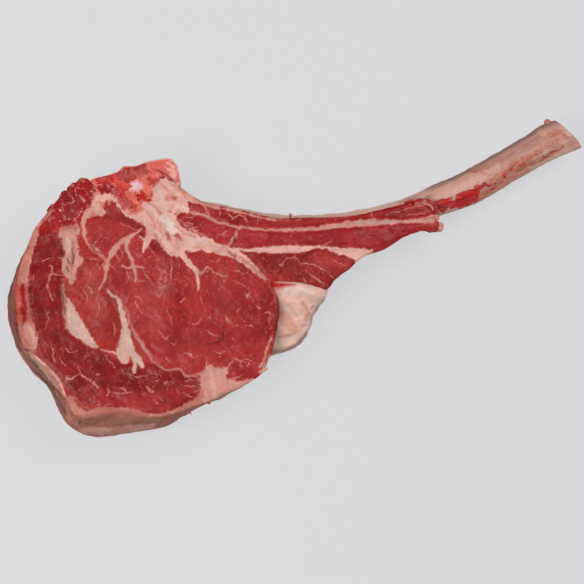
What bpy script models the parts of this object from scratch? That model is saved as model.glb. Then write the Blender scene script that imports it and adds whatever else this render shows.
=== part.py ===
"""Raw tomahawk steak: a thick slice of beef rib lying on its cut face, its long rib bone bare.

The shown cut face is up, the bare bone points to +X, and the origin is under the middle of the steak.
Positions are written in millimetres as seen on the cut face, and MM turns them into metres.
"""

import math

import bmesh
import bpy
import numpy as np

MM = 0.001
THICKNESS = 45.0
CENTRE = np.array([5.4, 4.2])  # middle of the whole steak in the drawn positions
GAP = 0.3  # between pieces that touch
VOXEL = 2.4
FLANK_START, FLANK_END = 30.0, 108.0  # the thin end of the rib meat, along X
FLANK_DROP, FLANK_LIFT = 7.0, 8.0  # how far its top sinks and its underside rises
ROUND_EDGE = 2.2
TAIL_TOP = 37.0
TAIL_SLOPE = 5.0
SLICE_TRIANGLES = 6000
TAIL_TRIANGLES = 700

# Edge of the slice, anticlockwise: x, y on the cut face, and how far the underside stands out beyond it
SLICE = [
    (-86, 65, 0),
    (-84.5, 71, 0),
    (-88, 80, 0),
    (-94, 84, 0),
    (-110, 80.5, 0),
    (-127, 77, 0),
    (-137, 71, 0),
    (-151, 66.5, 0),
    (-157, 67.5, -1),
    (-167.5, 60, -1),
    (-184, 40, -1),
    (-195, 20, 0),
    (-201.5, 2, 4),
    (-204.5, -18, 6.5),
    (-203, -36, 6),
    (-199, -54, 4),
    (-191, -65, 4),
    (-180, -75, 5),
    (-172, -84, 6),
    (-167, -96, 6),
    (-159.5, -108, 5),
    (-148, -108.5, 10),
    (-132, -105.5, 12.5),
    (-112, -108, 6.5),
    (-95, -108.5, 2),
    (-72, -101, -3),
    (-50, -91.5, -4),
    (-34, -84, -5),
    (-24, -76, -5),
    (-17, -62, -3),
    (-14.5, -50, 0),
    (-11, -30, 0),
    (-12, -18, 0),
    (-6, -8, 0),
    (8, -8.5, 0),
    (23, -13, -4),
    (31, -5, -8),
    (40, 2, -9),
    (52, 12, -9),
    (68, 18.5, -9),
    (82, 28, -8),
    (97, 34, -6),
    (108, 36.5, -4),
    (107, 45, -2),
    (98, 54, 0),
    (84, 54, 1),
    (62, 48, 2),
    (38, 42.5, 2),
    (8, 41.5, 2),
    (-14, 40.5, 2),
    (-40, 46.5, 2),
    (-68, 52.5, 2),
]

# Muscles that stand up between the seams: how high, and their edges on the cut face
MUSCLES = {
    "eye": (1.6, [(-136, 3), (-131, 14), (-112, 28), (-97, 14), (-86, 9), (-66, 15), (-42, 7), (-18, -10),
                  (-12, -26), (-16, -55), (-27, -70), (-48, -66), (-62, -70), (-76, -77), (-92, -73),
                  (-108, -63), (-121, -42), (-126, -24), (-137, -12)]),
    "inner_top": (1.4, [(-153, 36), (-151, 23), (-140, 12), (-127, 25), (-114, 33), (-129, 44), (-134, 53),
                        (-141, 42)]),
    "left_mid": (1.0, [(-157, 22), (-141, 10), (-139, -4), (-136, -18), (-127, -36), (-129, -58),
                       (-140, -59), (-151, -38), (-163, -20)]),
    "cap": (1.8, [(-187, 28), (-172, 20), (-168, -14), (-164, -44), (-140, -62), (-122, -70), (-104, -70),
                  (-80, -77), (-69, -84), (-76, -97), (-100, -107), (-140, -102), (-160, -94), (-174, -78),
                  (-187, -62), (-190, -38), (-195, -14)]),
    "shoulder": (1.2, [(-184, 39), (-168, 59), (-153, 66), (-149, 55), (-159, 38), (-176, 30)]),
    "lower_lobe": (1.0, [(-49, -80), (-48, -69), (-30, -70), (-30, -80)]),
    "near_strip": (2.2, [(-85, 41), (-60, 34), (-20, 31), (40, 32), (95, 37), (72, 22), (50, 18), (0, 19),
                         (-40, 18), (-78, 30)]),
    "far_strip": (2.4, [(-78, 52), (-40, 46), (0, 41), (40, 42), (100, 54), (104, 44), (60, 38), (20, 35),
                        (-10, 32), (-50, 37), (-76, 44)]),
    "wing": (1.8, [(-32, 13), (0, 14), (20, 17), (44, 9), (34, -3), (24, -12), (0, -6), (-20, -4)]),
}
SEAM_WIDTH = 3.5

# Outer fat of the left and lower sides, round its inner edge and then well outside the slice
FAT_CAP = [
    (-178, 44),
    (-188, 30),
    (-192, 12),
    (-195.5, -14),
    (-191.5, -36),
    (-187, -54),
    (-184, -67),
    (-173, -76),
    (-166, -88),
    (-156, -98),
    (-142, -102),
    (-118, -102),
    (-100, -104.5),
    (-80, -99),
    (-69, -90),
    (-66, -76),
    (-51, -73),
    (-48, -81),
    (-32, -80),
    (-12, -84),
    (-30, -110),
    (-90, -135),
    (-170, -135),
    (-205, -90),
    (-228, -30),
    (-215, 20),
    (-193, 48),
]

# Sawn backbone with the flap of meat that hangs on its end
CHINE = [
    (-146, 61),
    (-134, 57),
    (-126, 47),
    (-115, 49),
    (-106, 58),
    (-95, 62.5),
    (-86.5, 63.5),
    (-72, 70),
    (-80, 92),
    (-130, 94),
    (-153, 80),
    (-150, 67),
]

# Loose lobe of fat that lies against the right of the slice
FAT_TAIL = [
    (-16, -3),
    (-18, -30),
    (-20, -50),
    (-17, -56),
    (-4, -53),
    (5, -48),
    (12, -39),
    (16.5, -26),
    (22, -17),
    (24, -9),
    (4, -3),
]

# Rib bone from the backbone to its sawn end: x, y, z, half its width seen from above, half its height
RIB = [
    (-86, 54.5, 22, 5, 6),
    (-74, 49.5, 22, 8.5, 9.5),
    (-58, 45.5, 22, 9.5, 10.5),
    (-38, 41.8, 22, 9.5, 10.5),
    (-15, 38.8, 22, 9.0, 10.5),
    (8, 38.2, 22, 9.0, 10.5),
    (35, 39.8, 22, 9.3, 10.5),
    (62, 44.6, 22, 10.0, 10.5),
    (88, 51.5, 22, 11.0, 10.5),
    (112, 61.8, 22, 11.8, 10.2),
    (135, 71.8, 21, 12.9, 10.0),
    (161, 87.4, 21, 12.6, 9.6),
    (182, 100.0, 20, 12.7, 9.0),
    (195.5, 108.9, 20, 14.0, 8.6),
    (209, 116.0, 20, 15.6, 8.2),
]
RIB_SIDES = 20
RIB_STEP = 8.0
RIB_SQUARENESS = 2.4
GROOVE_ANGLE, GROOVE_SPREAD, GROOVE_DEPTH = math.radians(235), math.radians(20), 1.3
SAW_SLANT, SAW_REACH = 0.42, 26.0  # the saw cut leans along the bone over this last length


def smooth_line(points, step, closed):
    """Points along a smooth line through the given ones, about a step apart."""
    points = np.array(points, float)
    count = len(points)
    found = []
    for i in range(count if closed else count - 1):
        if closed:
            before, start, end, after = (points[(i + k) % count] for k in (-1, 0, 1, 2))
        else:
            before, start, end, after = (points[min(max(i + k, 0), count - 1)] for k in (-1, 0, 1, 2))
        pieces = max(1, round(np.linalg.norm(end[:2] - start[:2]) / step))
        for t in np.arange(pieces) / pieces:
            found.append(0.5 * (2 * start + (end - before) * t
                                + (2 * before - 5 * start + 4 * end - after) * t ** 2
                                + (3 * start - before - 3 * end + after) * t ** 3))
    if not closed:
        found.append(points[-1])
    return np.array(found)


def outward(loop):
    """Unit normals of an anticlockwise loop."""
    along = np.roll(loop[:, :2], -1, axis=0) - np.roll(loop[:, :2], 1, axis=0)
    along /= np.linalg.norm(along, axis=1)[:, None]
    return np.stack([along[:, 1], -along[:, 0]], axis=1)


def anticlockwise(points):
    x, y = np.array(points, float)[:, :2].T
    area = np.sum(x * np.roll(y, -1) - y * np.roll(x, -1))
    return points if area > 0 else points[::-1]


def smooth_step(low, high, value):
    t = np.clip((value - low) / (high - low), 0, 1)
    return t * t * (3 - 2 * t)


def distance_inside(points, outline):
    """How far inside a closed outline each point lies, and negative outside it."""
    start = outline
    side = np.roll(outline, -1, axis=0) - start
    nearest = np.full(len(points), np.inf)
    inside = np.zeros(len(points), bool)
    for (ax, ay), (dx, dy) in zip(start, side):
        px, py = points[:, 0] - ax, points[:, 1] - ay
        t = np.clip((px * dx + py * dy) / (dx * dx + dy * dy), 0, 1)
        nearest = np.minimum(nearest, np.hypot(px - t * dx, py - t * dy))
        crosses = (ay > points[:, 1]) != (ay + dy > points[:, 1])
        inside ^= crosses & (px < (points[:, 1] - ay) * dx / (dy if dy else 1e-9))
    return np.where(inside, nearest, -nearest)


def relief(points):
    """Height of the muscles over the seams, at points on the cut face."""
    height = np.zeros(len(points))
    for rise, outline in MUSCLES.values():
        depth = distance_inside(points, smooth_line(outline, 4.0, True))
        height = np.maximum(height, rise * smooth_step(-0.3 * SEAM_WIDTH, SEAM_WIDTH, depth))
    return height


def new_material(name, colour, roughness):
    material = bpy.data.materials.new(name)
    material.use_nodes = True
    shader = material.node_tree.nodes["Principled BSDF"]
    shader.inputs["Base Color"].default_value = (*colour, 1)
    shader.inputs["Roughness"].default_value = roughness
    return material


def new_object(name, mesh, collection, material=None):
    obj = bpy.data.objects.new(name, mesh)
    collection.objects.link(obj)
    if material:
        mesh.materials.append(material)
    return obj


def lofted_mesh(name, rings):
    """Closed mesh through rings of equally many points, in drawn millimetres, with flat ends."""
    bm = bmesh.new()
    rows = [[bm.verts.new(((x - CENTRE[0]) * MM, (y - CENTRE[1]) * MM, z * MM)) for x, y, z in ring]
            for ring in rings]
    for lower, upper in zip(rows, rows[1:]):
        for i in range(len(lower)):
            j = (i + 1) % len(lower)
            bm.faces.new((lower[i], lower[j], upper[j], upper[i]))
    bm.faces.new(rows[0][::-1])
    bm.faces.new(rows[-1])
    bmesh.ops.recalc_face_normals(bm, faces=bm.faces)
    mesh = bpy.data.meshes.new(name)
    bm.to_mesh(mesh)
    bm.free()
    return mesh


def settled(obj):
    """Replaces an object's mesh by the one that its modifiers give."""
    bpy.context.view_layer.update()
    evaluated = obj.evaluated_get(bpy.context.evaluated_depsgraph_get())
    mesh = bpy.data.meshes.new_from_object(evaluated)
    obj.modifiers.clear()
    obj.data = mesh


def remeshed(obj, voxel):
    modifier = obj.modifiers.new("Even skin", "REMESH")
    modifier.mode = "VOXEL"
    modifier.voxel_size = voxel * MM
    modifier.adaptivity = 0.0
    settled(obj)


def thinned(obj, triangles):
    modifier = obj.modifiers.new("Fewer faces", "DECIMATE")
    obj.data.calc_loop_triangles()
    modifier.ratio = min(1.0, triangles / len(obj.data.loop_triangles))
    modifier.use_collapse_triangulate = True
    settled(obj)


def moved(obj, shape):
    """Moves a mesh's points by a function of their drawn positions in millimetres."""
    places = np.empty(len(obj.data.vertices) * 3, np.float32)
    obj.data.vertices.foreach_get("co", places)
    places = places.reshape(-1, 3) / MM
    places[:, :2] += CENTRE
    places = shape(places)
    places[:, :2] -= CENTRE
    obj.data.vertices.foreach_set("co", (places * MM).astype(np.float32).ravel())
    obj.data.update()


def slab_rings(outline, top):
    """Rings of a slab with rounded edges whose lower part stands out as the outline says."""
    loop = smooth_line(anticlockwise(outline), 3.0, True)
    normal = outward(loop)
    spread = loop[:, 2:3] if loop.shape[1] > 2 else np.zeros((len(loop), 1))
    levels = [(0, 0.92, -ROUND_EDGE), (1, 0.96, -0.5), (5, 1, 0), (0.35 * top, 0.95, 0), (0.7 * top, 0.45, 0),
              (top - 2.5, 0.08, 0), (top - 0.7, 0, -0.6), (top, 0, -ROUND_EDGE)]
    for height, share, inset in levels:
        flat = loop[:, :2] + normal * (spread * share + inset)
        yield np.column_stack([flat, np.full(len(flat), height)])


def thin_end(places):
    """Share of the way to the thin end of the rib meat."""
    return smooth_step(FLANK_START, FLANK_END, places[:, 0]) * smooth_step(-20, 10, places[:, 1])


def shaped_slice(places):
    """Muscles stand up on the cut face, the rib meat thins towards its end and the underside is flat."""
    height = np.clip(places[:, 2] / THICKNESS, 0, 1)
    high = smooth_step(0.8, 0.98, height)
    end = thin_end(places)
    top = THICKNESS - FLANK_DROP * end
    places[:, 2] = FLANK_LIFT * end * (1 - height) + top * height + high * (relief(places) - 0.6)
    places[(places[:, 2] < 1.0) & (end < 0.01), 2] = 0
    return places


def make_slice(collection, material):
    slab = new_object("meat", lofted_mesh("meat", list(slab_rings(SLICE, THICKNESS))), collection, material)
    remeshed(slab, VOXEL)
    moved(slab, shaped_slice)
    thinned(slab, SLICE_TRIANGLES)
    return slab


def shaped_tail(places):
    """The fat lobe falls away from the slice and is a little uneven."""
    height = np.clip(places[:, 2] / TAIL_TOP, 0, 1)
    away = smooth_step(-12, 22, places[:, 0]) + smooth_step(-30, -58, places[:, 1])
    waves = 0.5 * np.sin(places[:, 0] / 5) * np.cos(places[:, 1] / 7)
    places[:, 2] += height * (waves - TAIL_SLOPE * away)
    places[places[:, 2] < 1.0, 2] = 0
    return places


def make_tail(collection, material):
    rings = list(slab_rings(FAT_TAIL, TAIL_TOP))
    tail = new_object("fat_tail", lofted_mesh("fat_tail", rings), collection, material)
    remeshed(tail, VOXEL)
    moved(tail, shaped_tail)
    thinned(tail, TAIL_TRIANGLES)
    return tail


def rib_rings(grow=0.0):
    """Sections of the rib bone, grown by a margin, with its groove and its slanting sawn end."""
    line = smooth_line(RIB, RIB_STEP, False)
    along = np.gradient(line[:, :2], axis=0)
    along /= np.linalg.norm(along, axis=1)[:, None]
    across = np.stack([-along[:, 1], along[:, 0]], axis=1)
    travelled = np.concatenate([[0], np.cumsum(np.linalg.norm(np.diff(line[:, :2], axis=0), axis=1))])
    angles = np.linspace(0, 2 * math.pi, RIB_SIDES, endpoint=False)
    power = 2 / RIB_SQUARENESS
    flat = np.sign(np.cos(angles)) * np.abs(np.cos(angles)) ** power
    tall = np.sign(np.sin(angles)) * np.abs(np.sin(angles)) ** power
    groove = GROOVE_DEPTH * np.exp(-((angles - (GROOVE_ANGLE - math.pi / 2)) / GROOVE_SPREAD) ** 2)
    for i, (x, y, z, width, height) in enumerate(line):
        to_end = travelled[-1] - travelled[i]
        slant = SAW_SLANT * (1 - smooth_step(0, SAW_REACH, to_end))
        end_grow = grow if i == len(line) - 1 else -grow if i == 0 else 0
        side = flat * (width + grow - groove)
        lift = tall * (height + grow - groove)
        ring = np.array([x, y]) + side[:, None] * across[i] + (end_grow - slant * side)[:, None] * along[i]
        yield np.column_stack([ring, z + lift])


def make_rib(collection, material):
    rib = new_object("rib_bone", lofted_mesh("rib_bone", list(rib_rings())), collection, material)
    rib.data.shade_smooth()
    return rib


def prism(name, outline, grow, collection):
    """Tall column over an outline, grown by a margin."""
    loop = smooth_line(anticlockwise(outline), 5.0, True)
    loop = loop[:, :2] + outward(loop) * grow
    rings = [np.column_stack([loop, np.full(len(loop), z)]) for z in (-20, THICKNESS + 30)]
    return new_cutter(new_object(name, lofted_mesh(name, rings), collection))


def new_cutter(obj):
    obj.hide_render = True
    obj.display_type = "WIRE"
    return obj


def grown_copy(name, obj, grow, collection):
    copy = new_cutter(new_object(name, obj.data.copy(), collection))
    modifier = copy.modifiers.new("Grow", "DISPLACE")
    modifier.strength = grow * MM
    modifier.mid_level = 0
    settled(copy)
    return copy


def combined(obj, other, operation):
    modifier = obj.modifiers.new(f"{operation.title()} {other.name}", "BOOLEAN")
    modifier.operation = operation
    modifier.object = other


def main():
    for obj in list(bpy.data.objects):
        bpy.data.objects.remove(obj)
    parts = bpy.data.collections.new("tomahawk_steak")
    cutters = bpy.data.collections.new("cutters")
    for collection in (parts, cutters):
        bpy.context.scene.collection.children.link(collection)
    lean = new_material("lean", (0.35, 0.035, 0.035), 0.45)
    fat = new_material("fat", (0.72, 0.42, 0.34), 0.5)
    bone = new_material("bone", (0.55, 0.33, 0.27), 0.55)
    marrow = new_material("marrow", (0.42, 0.06, 0.05), 0.5)

    meat = make_slice(parts, lean)
    tail = make_tail(parts, fat)
    rib = make_rib(parts, bone)
    fat_cap = new_object("fat_cap", meat.data.copy(), parts)
    fat_cap.data.materials[0] = fat
    chine = new_object("chine_bone", meat.data.copy(), parts)
    chine.data.materials[0] = marrow

    wide_rib = new_cutter(new_object("rib_room", lofted_mesh("rib_room", list(rib_rings(GAP))), cutters))
    combined(fat_cap, prism("fat_cap_column", FAT_CAP, 0, cutters), "INTERSECT")
    combined(chine, prism("chine_column", CHINE, 0, cutters), "INTERSECT")
    combined(meat, prism("fat_cap_room", FAT_CAP, GAP, cutters), "DIFFERENCE")
    combined(meat, prism("chine_room", CHINE, GAP, cutters), "DIFFERENCE")
    combined(meat, wide_rib, "DIFFERENCE")
    combined(meat, grown_copy("tail_room", tail, 1.5 * GAP, cutters), "DIFFERENCE")
    combined(chine, wide_rib, "DIFFERENCE")


main()
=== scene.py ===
"""Looks of the raw tomahawk steak: its cut face with seams and marbling, its rind, and the bare rib bone.

Positions are in millimetres as seen on the cut face from the photograph's camera. MM and CENTRE turn them
into the frame's metres. Widths of lines are in millimetres too, and colours are ordinary 0 to 255 ones.
"""

import math

import bmesh
import bpy
import numpy as np
from mathutils import Matrix, Vector
from mathutils.geometry import delaunay_2d_cdt


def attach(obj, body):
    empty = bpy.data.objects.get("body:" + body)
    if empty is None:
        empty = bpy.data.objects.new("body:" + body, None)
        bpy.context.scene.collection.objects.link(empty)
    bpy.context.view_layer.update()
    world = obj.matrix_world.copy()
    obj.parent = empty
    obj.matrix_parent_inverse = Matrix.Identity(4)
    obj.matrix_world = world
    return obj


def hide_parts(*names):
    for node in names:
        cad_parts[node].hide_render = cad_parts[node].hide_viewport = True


MM = 0.001
CENTRE = np.array([5.4, 4.2])  # the frame's origin
THICKNESS = 45.0
ROUND_EDGE = 2.2
# Meshes: steps on the cut face, round the rim and on the underside, and rows down the side
TOP_STEP, RIM_STEP, UNDER_STEP, WALL_ROWS = 0.95, 1.05, 2.4, 34
LINE_STEP, STATION_STEP = 0.8, 1.5  # along lines that stray, and along the others
# Between these x the rib meat thins, by so much from above and from below
FLANK_START, FLANK_END, FLANK_DROP, FLANK_LIFT = 30.0, 108.0, 7.0, 8.0
TAIL_TOP, TAIL_SLOPE = 37.0, 5.0
SEAM_WIDTH = 3.5
EYE_X, EYE_Y = -95, -30  # middle of the eye, the large round muscle
RELIEF_FROM, RELIEF_FULL = 0.8, 0.98  # shares of the height where the face's relief begins and is full
PAINT_INSET = 0.4  # sides take their paint from the face, this far inside its rim
REACH = 9.0  # depths are worked out this far from a line or an outline
PAINT_SEED = 51
WAVE_COUNT = 9
# Where a point of a slab lies
FACE, WALL, UNDER = 0, 1, 2
# How a point's height shifts where the camera sees it on the cut face
LEAN_X, LEAN_Y = 0.0713, 0.195
HAZE, GAIN = 0.020, 1.18  # what the light's sheen adds to a paint, and how bright it shows one

# Edge of the slice without the backbone piece: x, y and how far the underside stands out beyond it
SLICE = [
    (-86, 63.5, 0), (-95, 62.5, 0), (-106, 58, 0), (-115, 49, 0), (-126, 47, 0), (-134, 57, 0),
    (-146, 61, 0), (-151, 66.5, 0), (-154, 68.6, 0), (-157, 67.5, -1), (-161, 65.5, -1), (-167.5, 60, -1),
    (-176, 50.5, -1), (-184, 40, -1), (-190, 31.5, 0), (-195, 20, 0), (-201.5, 2, 4), (-204.5, -18, 6.5),
    (-203, -36, 6), (-199, -54, 4), (-191, -65, 4), (-180, -75, 5), (-172, -84, 6), (-167, -96, 6),
    (-159.5, -108, 5), (-148, -108.5, 10), (-132, -105.5, 12.5), (-112, -108, 6.5), (-95, -108.5, 2),
    (-72, -101, -3), (-50, -91.5, -4), (-34, -84, -5), (-24, -76, -5), (-17, -62, -3), (-14.5, -50, 0),
    (-11, -30, 0), (-12.5, -20, 0), (-15.5, -13, 0), (-17.5, -9.4, 0), (-15, -7.6, 0), (-7, -7.6, 0),
    (8, -8.5, 0), (23, -13, -4), (31, -5, -8), (40, 2, -9), (52, 12, -9), (68, 18.5, -9), (82, 28, -8),
    (97, 34, -6), (108, 36.5, -4), (107, 45, -2), (98, 54, 0), (84, 54, 0), (62, 48, 0), (38, 42.5, 0),
    (8, 41.5, 0), (-14, 40.5, 0), (-40, 46.5, 0), (-68, 52.5, 0),
]

# Edge of the backbone piece, in the same way
CHINE = [
    (-151, 66.5, 0), (-146, 61, 0), (-134, 57, 0), (-126, 47, 0), (-115, 49, 0), (-106, 58, 0),
    (-95, 62.5, 0), (-86, 63.5, 0), (-84.5, 66.5, 0), (-85, 72, 0), (-88.5, 80.5, 0), (-94, 84, 0),
    (-104, 82.3, 0), (-113, 80, 0), (-121, 78, 0), (-127, 77, 0), (-130.5, 74, 0), (-137, 71.5, 0),
    (-143, 69.8, 0),
]

# Edge of the lobe of fat on the right
FAT_TAIL = [
    (-23, 2), (-22, -30), (-20, -50), (-17, -56), (-4, -53), (5, -48), (12, -39), (16.5, -26), (22, -17),
    (24, -9), (14, -4), (0, 0),
]

# Outer fat of the left and lower sides, well outside the slice on its far side
RIND = [
    (-178, 44), (-188, 30), (-192, 12), (-195.5, -14), (-191.5, -36), (-187, -54), (-184, -67), (-173, -76),
    (-166, -88), (-156, -98), (-142, -102), (-118, -102), (-100, -104.5), (-80, -99), (-69, -90),
    (-66, -76), (-51, -73), (-48, -81), (-32, -80), (-12, -84), (-30, -110), (-90, -135), (-170, -135),
    (-205, -90), (-228, -30), (-215, 20), (-193, 48),
]

# Muscles: height over the seams, angle of the grain in degrees, colour, outline
MUSCLES = {
    "eye": (1.6, 78, (163, 56, 55), [(-136, 3), (-131, 13), (-127, 16), (-123, 12), (-119, 21), (-114, 27),
        (-110.5, 28), (-108, 23), (-101.5, 22), (-98, 17), (-94, 12), (-86, 9), (-76, 13), (-66, 15),
        (-55, 11.5), (-46, 9), (-38, 4), (-28, -5), (-18, -10), (-12, -26), (-16, -55), (-27, -70),
        (-48, -66), (-62, -70), (-76, -77), (-92, -73), (-108, -63), (-121, -42), (-126, -24),
        (-137, -12)]),
    "inner_top": (1.4, 55, (161, 57, 56), [(-151, 39), (-154, 35), (-153.5, 30), (-151.5, 23), (-150, 17.5),
        (-144, 11.5), (-138, 10), (-133.5, 17), (-125, 24), (-117.5, 28), (-113, 31), (-113, 33),
        (-117, 35.5), (-123, 37.5), (-128, 42), (-130, 46.5), (-132, 49), (-134.5, 53), (-136, 50),
        (-138, 48), (-139.5, 51), (-141, 46), (-140.5, 41)]),
    "left_mid": (1.0, 70, (160, 56, 52), [(-157, 22), (-152, 18), (-141, 9), (-139, -4), (-140, -9),
        (-136, -18), (-127, -36), (-129, -58), (-140, -59), (-151, -38), (-163, -20), (-160, -2)]),
    "cap": (1.8, 0, (133, 27, 25), [(-187, 28), (-172, 20), (-168, -14), (-164, -44), (-140, -62),
        (-122, -70), (-104, -70), (-80, -77), (-69, -84), (-76, -97), (-100, -107), (-140, -102),
        (-160, -94), (-174, -78), (-187, -62), (-190, -38), (-195, -14)]),
    "shoulder": (1.2, 48, (156, 34, 38), [(-188, 33), (-184, 40), (-175, 50), (-168, 60), (-160, 66),
        (-153, 67), (-148.5, 64), (-147.5, 57), (-149, 51), (-152.3, 46), (-156, 41.5), (-157, 38),
        (-160, 34.5), (-166, 34), (-172, 31.5), (-178, 28), (-183, 26), (-187, 26)]),
    "lower_lobe": (1.0, 20, (158, 52, 52), [(-49, -80), (-48, -69), (-30, -70), (-30, -80)]),
    "near_strip": (2.2, 2, (162, 52, 55), [(-87, 39), (-85, 42), (-77, 42), (-60, 36.5), (-50, 33.5),
        (-35, 31.5), (-15, 30), (0, 29.7), (16, 31), (33, 33), (50, 35.3), (66, 37), (83, 39), (98, 40),
        (99, 37), (89, 33), (82, 30), (74, 23.5), (66, 20), (59, 17), (49.5, 18), (33, 19.4), (0, 20),
        (-20, 18.5), (-26, 17.5), (-35, 17), (-45, 19.5), (-44, 23), (-60, 24), (-70, 26), (-78, 31),
        (-85, 35)]),
    "far_strip": (2.4, 4, (156, 50, 49), [(-79, 50), (-65, 50.5), (-50, 47.5), (-33, 44.8), (-16.5, 41.7),
        (0, 41.1), (16.5, 42.2), (33, 43.7), (50, 45.3), (66, 49), (83, 53.5), (90, 56), (96, 55),
        (104, 51), (104, 45), (98, 42.7), (83, 41), (66, 40.5), (50, 39.4), (33, 37.4), (16.5, 33.8),
        (0, 33), (-20, 32.5), (-33, 33.5), (-50, 35.5), (-60, 38.5), (-70, 42.5)]),
    "wing": (1.8, -22, (146, 50, 47), [(-34, 14.5), (-22, 14), (-16, 12.5), (-10, 14.5), (8, 13), (9, 15.5),
        (16, 17.5), (24, 17), (30, 14), (37, 12.5), (43, 12.5), (45, 8.5), (40, 3), (33, -3), (28, -8),
        (22, -15), (20, -11), (15, -12), (9, -10), (4, -7.5), (-12, -5.5), (-18, -5), (-25, 1), (-31, 11)]),
}
SEAM_COLOUR = (166, 62, 58)  # lean that belongs to no muscle

# Seams of fat: colour name, and stations x, y, width
SEAMS = [
    ("peach", [(-155.7, 33, 2), (-154.9, 28, 1.8), (-154.6, 24, 1.6), (-153, 20, 1.4), (-150.6, 16, 1.2),
        (-147.8, 13, 0.9), (-145, 11, 1), (-141.7, 9.3, 1.5), (-139.5, 7, 3)]),
    ("beige", [(-170, -12, 1.2), (-169, -20, 1.6), (-168.5, -26, 2), (-167, -31, 2.2), (-168.5, -34, 2),
        (-166, -40, 1.6), (-167, -45, 0.8)]),
    ("pink", [(-113, 30, 1.4), (-117, 27, 2), (-121, 24.5, 3.2), (-125, 21.5, 4), (-130, 18, 3.6),
        (-133.5, 12.5, 3.4), (-136.5, 7, 3.4), (-138.2, 3.5, 4), (-137.9, 0, 2.4), (-138.8, -4, 1.8),
        (-140, -9, 1.5), (-141.7, -13, 1.2), (-143, -16, 0.8)]),
    ("pink", [(-123, 22, 3.4), (-123.5, 16, 2.6), (-122.3, 11, 1.8), (-119.8, 7, 2), (-118.3, 2, 2),
        (-116.9, -1.5, 1.8), (-116.7, -6, 1.8), (-116.7, -10, 1)]),
    ("pink", [(-127, 2.2, 1), (-121, 0.8, 1.4), (-118, 2, 1.8), (-114, 1.8, 1.5), (-110.5, 0.7, 0.9)]),
    ("pink", [(-114, 25, 1), (-112, 23, 1.3), (-108, 23, 2)]),
    ("cream", [(-107, 26, 4), (-108, 22, 3.4), (-109.6, 18, 3), (-110.8, 14.5, 2.2), (-111.2, 12.5, 1.6)]),
    ("pale", [(-137.5, -14, 0.6), (-135, -19, 1.5), (-130, -21.5, 2), (-128, -27, 3.5), (-125.5, -35, 4),
        (-124, -43, 5), (-123.5, -50, 7), (-123.5, -57, 9), (-125, -63, 10), (-124, -67, 7)]),
    ("pale", [(-121, -58, 6), (-118, -62, 4.5), (-114, -67, 4), (-111, -71.5, 3)]),
    ("pale", [(-118, -64, 4), (-116, -70, 3.2), (-117, -77, 2)]),
    ("cream", [(-126, -64, 3), (-130, -62.5, 1.6), (-136, -61.5, 1.2), (-141, -60, 1.2)]),
    ("lilac", [(-124, -28, 0.8), (-121.5, -36, 1), (-119, -43, 1.2), (-116, -49, 1.6), (-112, -55, 2),
        (-108.5, -61, 1.8), (-104, -67, 1.3), (-99.5, -71, 1.1), (-94, -74.5, 1.1), (-83, -74, 0.9),
        (-79, -79, 1.1), (-69, -77, 1.4), (-64, -74.5, 1.6)]),
    ("cream", [(-84, 14, 5), (-80, 8, 4), (-76, 3, 3.6), (-72, -2, 3.2), (-71, -9, 2.2), (-70.5, -15, 1)]),
    ("dusky", [(-70, -4, 1.5), (-65, 1.5, 1.2), (-63.5, 2.5, 0.9), (-60, -1, 0.8), (-55, -4, 0.8),
        (-51, -4.5, 0.7), (-49.5, -3.5, 0.5)]),
    ("cream", [(-78, 21, 12), (-68, 20, 10), (-60, 17.5, 8.5), (-50, 14.5, 7), (-43, 12.5, 7)]),
    ("cream", [(-46, 13.5, 6.5), (-40, 10, 5.5), (-34, 5.4, 5), (-28, 0, 4.2), (-23, -4.4, 2.8),
        (-20, -6.5, 1.6)]),
    ("edge", [(-76, 43, 1.6), (-66, 41, 1.5), (-60, 37.5, 1.4), (-50, 34.5, 1.3), (-45, 33, 1.4),
        (-35, 32.5, 1.7), (-20, 31, 1.7), (0, 31.4, 2.4), (16.5, 32.6, 2.4), (33, 35.3, 4.2),
        (50, 37.4, 4.4), (66, 38.8, 3.8), (83, 40.1, 2.4), (96, 41.4, 3), (103, 41.5, 4)]),
    ("edge", [(-86, 61.4, 5), (-76, 55.8, 6), (-68, 51.4, 5.4), (-54, 48.4, 4.4), (-40, 45, 3.8),
        (-27, 42.2, 3.4), (-14, 39.4, 2.6), (0, 39.6, 2), (8, 40.4, 1.2)]),
    ("cream", [(-45, 17.5, 0.6), (-40, 16.4, 1), (-35, 15.5, 1.8), (-26, 16, 3), (-16, 16, 4.6),
        (-5, 16.8, 4.8), (5, 16.8, 4.4), (16, 18.6, 2), (25, 18, 2.2), (33, 16, 5), (42, 14.5, 7),
        (50, 13, 8)]),
    ("pink", [(-43, 30, 0.8), (-43.5, 27, 1.4), (-46, 23.5, 1.8), (-48, 20, 1.4), (-50, 18, 1)]),
    ("pink", [(-17, -50, 0.8), (-19, -55, 1), (-21, -60, 1.2), (-22, -66, 1.2), (-25, -71, 1.2)]),
]

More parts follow.
